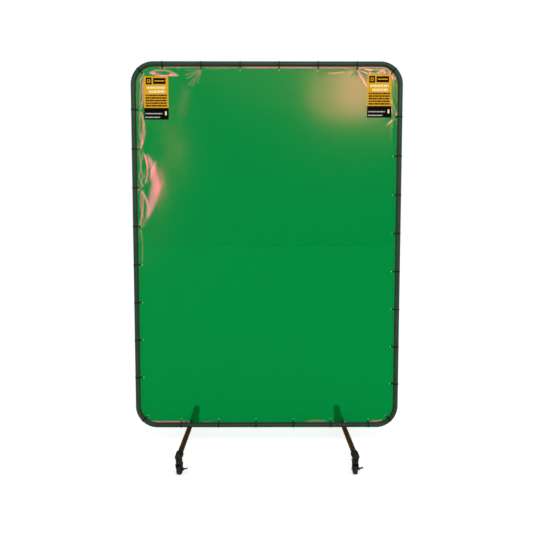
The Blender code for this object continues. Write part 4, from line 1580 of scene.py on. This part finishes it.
@dataclass
class Castors:
    """Four swivel castors: fork, axle and wheel, with a brake lever on the two at the front."""

    wheel_radius: float = 25.0 * MM
    wheel_half: float = 10.0 * MM
    trail: float = 15.0 * MM
    fork_inside: float = 11.0 * MM
    fork_outside: float = 13.0 * MM
    crown_foot: float = 53.0 * MM
    crown_top: float = 55.0 * MM
    head_top: float = 64.7 * MM
    head_radius: float = 13.0 * MM
    axle_radius: float = 3.0 * MM
    brake_at: float = 18.3 * MM

    def side_plate(self, x: float) -> bpy.types.Object:
        """Press one fork side: straight at the crown, tapered to a round foot at the axle.

        Args:
            x: The middle of the plate.

        Returns:
            The plate.
        """
        front, rear, foot = -self.head_radius, self.trail + self.head_radius, self.wheel_radius - 8.0 * MM
        plate = box((x - MM, front, foot), (x + MM, rear, self.crown_top))
        enter_edit(plate)
        select_where(plate, "VERT", lambda at, way: at.z < self.wheel_radius)
        middle = (x, self.trail, foot)
        bpy.ops.transform.translate(value=(0.0, self.trail - (front + rear) / 2, 0.0))
        bpy.ops.transform.resize(value=(1.0, 16.0 * MM / (rear - front), 1.0), center_override=middle)
        select_where(plate, "EDGE", lambda at, way: at.z < foot + MM and abs(way.x) > 0.9)
        bpy.ops.mesh.bevel(offset=6.4 * MM, segments=9, affect="EDGES")
        close_edit(plate)
        return bevelled(plate, 0.35 * MM, 2, 50.0)

    def fork(self) -> bpy.types.Object:
        """Make a fork about its stem, trailing towards +Y, with its swivel head and stem.

        Returns:
            The fork.
        """
        crown = box((-self.fork_inside - GAP, GAP - self.head_radius, self.crown_foot),
                    (self.fork_inside + GAP, self.trail + self.head_radius - GAP, self.crown_top - GAP))
        sides = [self.side_plate(sign * (self.fork_inside + self.fork_outside) / 2) for sign in (-1, 1)]
        race = in_mm((-2.5, -1.5), (0.0, 0.8), (0.0, 3.4), (-1.0, 3.9), (-1.0, 4.5), (0.0, 5.0), (0.0, 7.4),
                     (-0.8, 8.6))
        head = turned([*((self.head_radius + out, self.crown_top + up) for out, up in race),
                       (self.head_radius - 1.8 * MM, self.head_top)])
        stem = turned([(5.0 * MM, self.head_top - 2.0 * MM), *in_mm((5.0, 92.9), (4.2, 93.7))], SMALL_SIDES)
        bore = turned([(self.axle_radius + GAP, -self.fork_outside - 2 * MM),
                       (self.axle_radius + GAP, self.fork_outside + 2 * MM)], SMALL_SIDES, LYING_X)
        moved(bore, Matrix.Translation((0.0, self.trail, self.wheel_radius)))
        combined(crown, [*sides, head, stem], "UNION")
        return combined(crown, [bore], "DIFFERENCE")

    def tyre(self) -> bpy.types.Object:
        """Turn the tyre about X, with rounded shoulders and two shallow grooves round its tread.

        Returns:
            The tyre.
        """
        r, half = self.wheel_radius, self.wheel_half
        side = [(19.0 * MM, 8.2 * MM), (19.6 * MM, half - 0.4 * MM), (20.8 * MM, half)]
        shoulder = arc((21.2 * MM, 6.2 * MM), 3.8 * MM, 90.0, 8.0, 7)
        floor = r - 0.7 * MM
        groove = [(r - 0.05 * MM, 3.6 * MM), (floor, 3.2 * MM), (floor, 2.6 * MM), (r, 2.2 * MM)]
        return turned(mirrored([*side, *shoulder, *groove]), 64, LYING_X, True)

    def hub(self) -> bpy.types.Object:
        """Turn the hub about X, with a dished face and a bearing boss.

        Returns:
            The hub.
        """
        upper = [(self.axle_radius + GAP, 9.6 * MM),
                 *in_mm((6.0, 9.6), (6.8, 9.0), (7.6, 6.0), (15.2, 5.4), (16.6, 8.4), (17.4, 9.0),
                        (19.05, 9.0))]
        return turned(mirrored(upper), 64, LYING_X, True)

    def axle(self, braked: bool) -> bpy.types.Object:
        """Turn an axle about X, with two heads, or one head and an eye for the brake lever.

        Args:
            braked: True for an eye at +X.

        Returns:
            The axle.
        """
        start = self.fork_outside + GAP
        head = [(3.6 * MM, -start - 3.0 * MM), (4.6 * MM, -start - 2.5 * MM), (5.0 * MM, -start - 1.6 * MM),
                (5.0 * MM, -start - 0.2 * MM), (4.8 * MM, -start), (self.axle_radius, -start + 0.01 * MM)]
        if not braked:
            return turned(mirrored(head), SMALL_SIDES, LYING_X)
        eye = [(self.axle_radius, start + 0.2 * MM), (2.7 * MM, start + 0.3 * MM),
               (2.7 * MM, self.brake_at + 2.0 * MM), (2.3 * MM, self.brake_at + 2.4 * MM)]
        axle = turned([*head, *eye], SMALL_SIDES, LYING_X)
        pin_hole = turned([(1.5 * MM, -6.0 * MM), (1.5 * MM, 6.0 * MM)], SMALL_SIDES, LYING_Y)
        return combined(axle, [moved(pin_hole, Matrix.Translation((self.brake_at, 0.0, 0.0)))], "DIFFERENCE")

    def brake(self) -> bpy.types.Object:
        """Make a brake lever about its pivot: two cam cheeks, a pin and a ribbed pedal towards +X.

        Returns:
            The lever, at rest.
        """
        tilt = Matrix.Rotation(math.radians(-15.0), 4, "Y")
        cam = turned(in_mm((4.6, -6.0), (5.0, -5.6), (5.0, 5.6), (4.6, 6.0)), SMALL_SIDES, LYING_Y)
        pedal = moved(box((1.8 * MM, -7.0 * MM, -1.0 * MM), (20.0 * MM, 7.0 * MM, 1.0 * MM), 0.5 * MM), tilt)
        ribs = [moved(box((start * MM, -5.5 * MM, 0.6 * MM), ((start + 1.0) * MM, 5.5 * MM, 1.5 * MM),
                          0.25 * MM, 2), tilt) for start in (12.0, 14.4, 16.8)]
        slot = moved(box((-10.0 * MM, -3.3 * MM, -10.0 * MM), (3.6 * MM, 3.3 * MM, 10.0 * MM)), tilt)
        pin = turned([(1.2 * MM, -5.7 * MM), (1.2 * MM, 5.7 * MM)], SMALL_SIDES, LYING_Y)
        combined(cam, [pedal, *ribs], "UNION")
        combined(cam, [slot], "DIFFERENCE")
        return combined(cam, [pin], "UNION")

    def build(self) -> int:
        """Copy the castor's pieces to the four corners.

        Returns:
            How many pieces there are.
        """
        patterns = {"fork": self.fork(), "tyre": self.tyre(), "hub": self.hub(), "brake": self.brake(),
                    "front_axle": self.axle(True), "rear_axle": self.axle(False)}
        hub_at = Matrix.Translation((0.0, self.trail, self.wheel_radius))
        brake_at = hub_at @ Matrix.Translation((self.brake_at, 0.0, 0.0))
        made = 0
        for corner in CORNERS:
            end, at = corner.name, corner.swivelled
            wheel, castor = f"{end}_wheel", f"{end}_castor"
            jobs = [("fork", f"{end}_fork_zinc", at, BLACK_ZINC, castor, Slot.ZINC, [f"{end}_fork"]),
                    (f"{corner.end}_axle", f"{end}_axle_steel", at @ hub_at, AXLE_STEEL, castor, Slot.STEEL,
                     [f"{end}_axle"]),
                    ("tyre", f"{end}_tyre", at @ hub_at, TREAD, wheel, Slot.RUBBER, [wheel]),
                    ("hub", f"{end}_hub", at @ hub_at, HUB_NYLON, wheel, Slot.RUBBER, [])]
            if corner.end == "front":
                jobs.append(("brake", f"{end}_brake_pedal", at @ brake_at, ZINC, f"{end}_brake", Slot.ZINC,
                             [f"{end}_brake_lever"]))
            for pattern, name, place, finish, body, slot, nodes in jobs:
                fitted(copied(patterns[pattern], name, place), name, finish, body, nodes, 32.0)
                made += 1
        for pattern in patterns.values():
            discard(pattern)
        return made


# ----------------------------------------------------------------------------------- the studio
@dataclass(frozen=True)
class Panel:
    """A soft panel light: where it is, what it faces, its size and how bright its face is."""

    name: str
    place: Triple
    aim: Triple
    size: Point
    radiance: float
    lights_matt: bool = False
    only: str = ""
    shape: str = "ELLIPSE"
    tone: Triple = (1.0, 1.0, 1.0)

    def build(self) -> None:
        """Hang the panel, flagged off from all but one piece where it names one."""
        lamp = bpy.data.lights.new(self.name, "AREA")
        lamp.shape, lamp.color = self.shape, self.tone
        lamp.size, lamp.size_y = self.size
        lamp.energy = self.radiance * math.pi * self.size[0] * self.size[1]
        panel = bpy.data.objects.new(self.name, lamp)
        panel.location = self.place
        panel.rotation_euler = (Vector(self.aim) - Vector(self.place)).to_track_quat("-Z", "Y").to_euler()
        panel.visible_camera = False
        panel.visible_diffuse = self.lights_matt
        linked(panel)
        if self.only:
            group = bpy.data.collections.new(f"{self.name}_lights")
            group.objects.link(bpy.data.objects[self.only])
            panel.light_linking.receiver_collection = group


@dataclass
class Studio:
    """The camera, the pale floor, the pale room and its soft panels."""

    eye: Triple = (-0.012, -2.881, 1.135)
    pitch: float = -4.01
    yaw: float = -0.20
    lens: float = 38.47
    sensor: float = 36.0
    ambient: float = 0.55
    panels: tuple[Panel, ...] = (
        Panel("right_softbox", (0.80, -2.00, 2.33), (0.40, 0.0, 1.75), (0.34, 0.56), 92.0, False,
              "curtain_film"),
        Panel("right_glow", (0.72, -2.00, 2.30), (0.40, 0.0, 1.75), (0.82, 0.66), 66.0, False,
              "curtain_film"),
        Panel("left_strip", (-1.40, -2.00, 1.80), (-0.60, 0.0, 1.45), (0.42, 1.50), 170.0, False,
              "curtain_film", "ELLIPSE", (1.0, 0.35, 0.9)),
        Panel("top_strip", (0.0, -1.80, 3.05), (0.0, 0.0, 1.90), (2.6, 0.45), 140.0, False,
              "curtain_film", "RECTANGLE", (1.0, 0.5, 1.0)),
        Panel("front_fill", (0.30, -3.60, 3.20), (0.0, 0.0, 1.10), (2.2, 1.6), 4.0, True))

    def camera(self) -> None:
        """Set up the camera."""
        data = bpy.data.cameras.new("studio_camera")
        data.lens, data.sensor_width = self.lens, self.sensor
        camera = linked(bpy.data.objects.new("studio_camera", data))
        camera.location = self.eye
        camera.rotation_euler = (math.radians(90.0 + self.pitch), 0.0, math.radians(self.yaw))
        bpy.context.scene.camera = camera

    def room(self) -> None:
        """Fill the room with pale, even light that is dimmer in front, where gloss would show it."""
        world = bpy.data.worlds.new("pale_room")
        bpy.context.scene.world = world
        world.use_nodes = True
        tree = world.node_tree
        tree.nodes.clear()
        way = add_node(tree, "ShaderNodeTexCoord").outputs["Generated"]
        parts = add_node(tree, "ShaderNodeSeparateXYZ", {0: way})
        beside = add_node(tree, "ShaderNodeMath", {0: parts.outputs[0]}, operation="ABSOLUTE")
        overhead = add_node(tree, "ShaderNodeMath", {0: parts.outputs[2], 1: 0.0}, operation="MAXIMUM")
        open_side = add_node(tree, "ShaderNodeMath", {0: beside.outputs[0], 1: overhead.outputs[0]},
                             operation="MAXIMUM")
        gloss = add_node(tree, "ShaderNodeMapRange",
                         {"Value": open_side.outputs[0], "From Min": 0.45, "From Max": 0.95, "To Min": 0.05,
                          "To Max": 0.60})
        ray = add_node(tree, "ShaderNodeLightPath")
        glossy, camera = ray.outputs["Is Glossy Ray"], ray.outputs["Is Camera Ray"]
        seen = add_node(tree, "ShaderNodeMix", {0: glossy, 2: self.ambient, 3: gloss.outputs[0]})
        level = add_node(tree, "ShaderNodeMix", {0: camera, 2: seen.outputs[0], 3: 1.0})
        back = add_node(tree, "ShaderNodeBackground",
                        {"Color": (1.0, 1.0, 1.0, 1.0), "Strength": level.outputs[0]})
        add_node(tree, "ShaderNodeOutputWorld", {"Surface": back.outputs[0]})

    def floor(self) -> None:
        """Lay the floor under the castors; the film's gloss leaves it out, so its far edge doesn't show."""
        deselect_all()
        bpy.ops.mesh.primitive_plane_add(size=60.0, location=(0.0, 0.0, -0.02 * MM))
        floor = bpy.context.object
        bpy.ops.object.transform_apply(location=True, rotation=True, scale=True)
        floor.name = "studio_floor"
        floor.visible_glossy = False
        floor.data.materials.append(FLOOR.material())

    def build(self) -> None:
        """Set up everything but the camera, which comes first."""
        self.room()
        self.floor()
        for panel in self.panels:
            panel.build()
        bpy.context.scene.view_settings.view_transform = "Standard"
        bpy.context.scene.view_settings.look = "None"


def main() -> None:
    """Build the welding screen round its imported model."""
    logging.basicConfig(level=logging.INFO, format="%(name)s: %(message)s")
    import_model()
    studio = Studio()
    studio.camera()
    LOG.info("frame: %d pieces", SteelFrame().build())
    LOG.info("ties: %d pieces", CableTies().build())
    curtain = FilmCurtain()
    LOG.info("curtain: %d faces", len(curtain.build().data.polygons))
    for name, left, low in LABEL_SPOTS:
        LOG.info("%s: %d faces", name, len(Label(name, left, low, curtain).build().data.polygons))
    LOG.info("legs: %d pieces", CrossLegs().build())
    LOG.info("castors: %d pieces", Castors().build())
    studio.build()
    deselect_all()


if __name__ == "__main__":
    main()
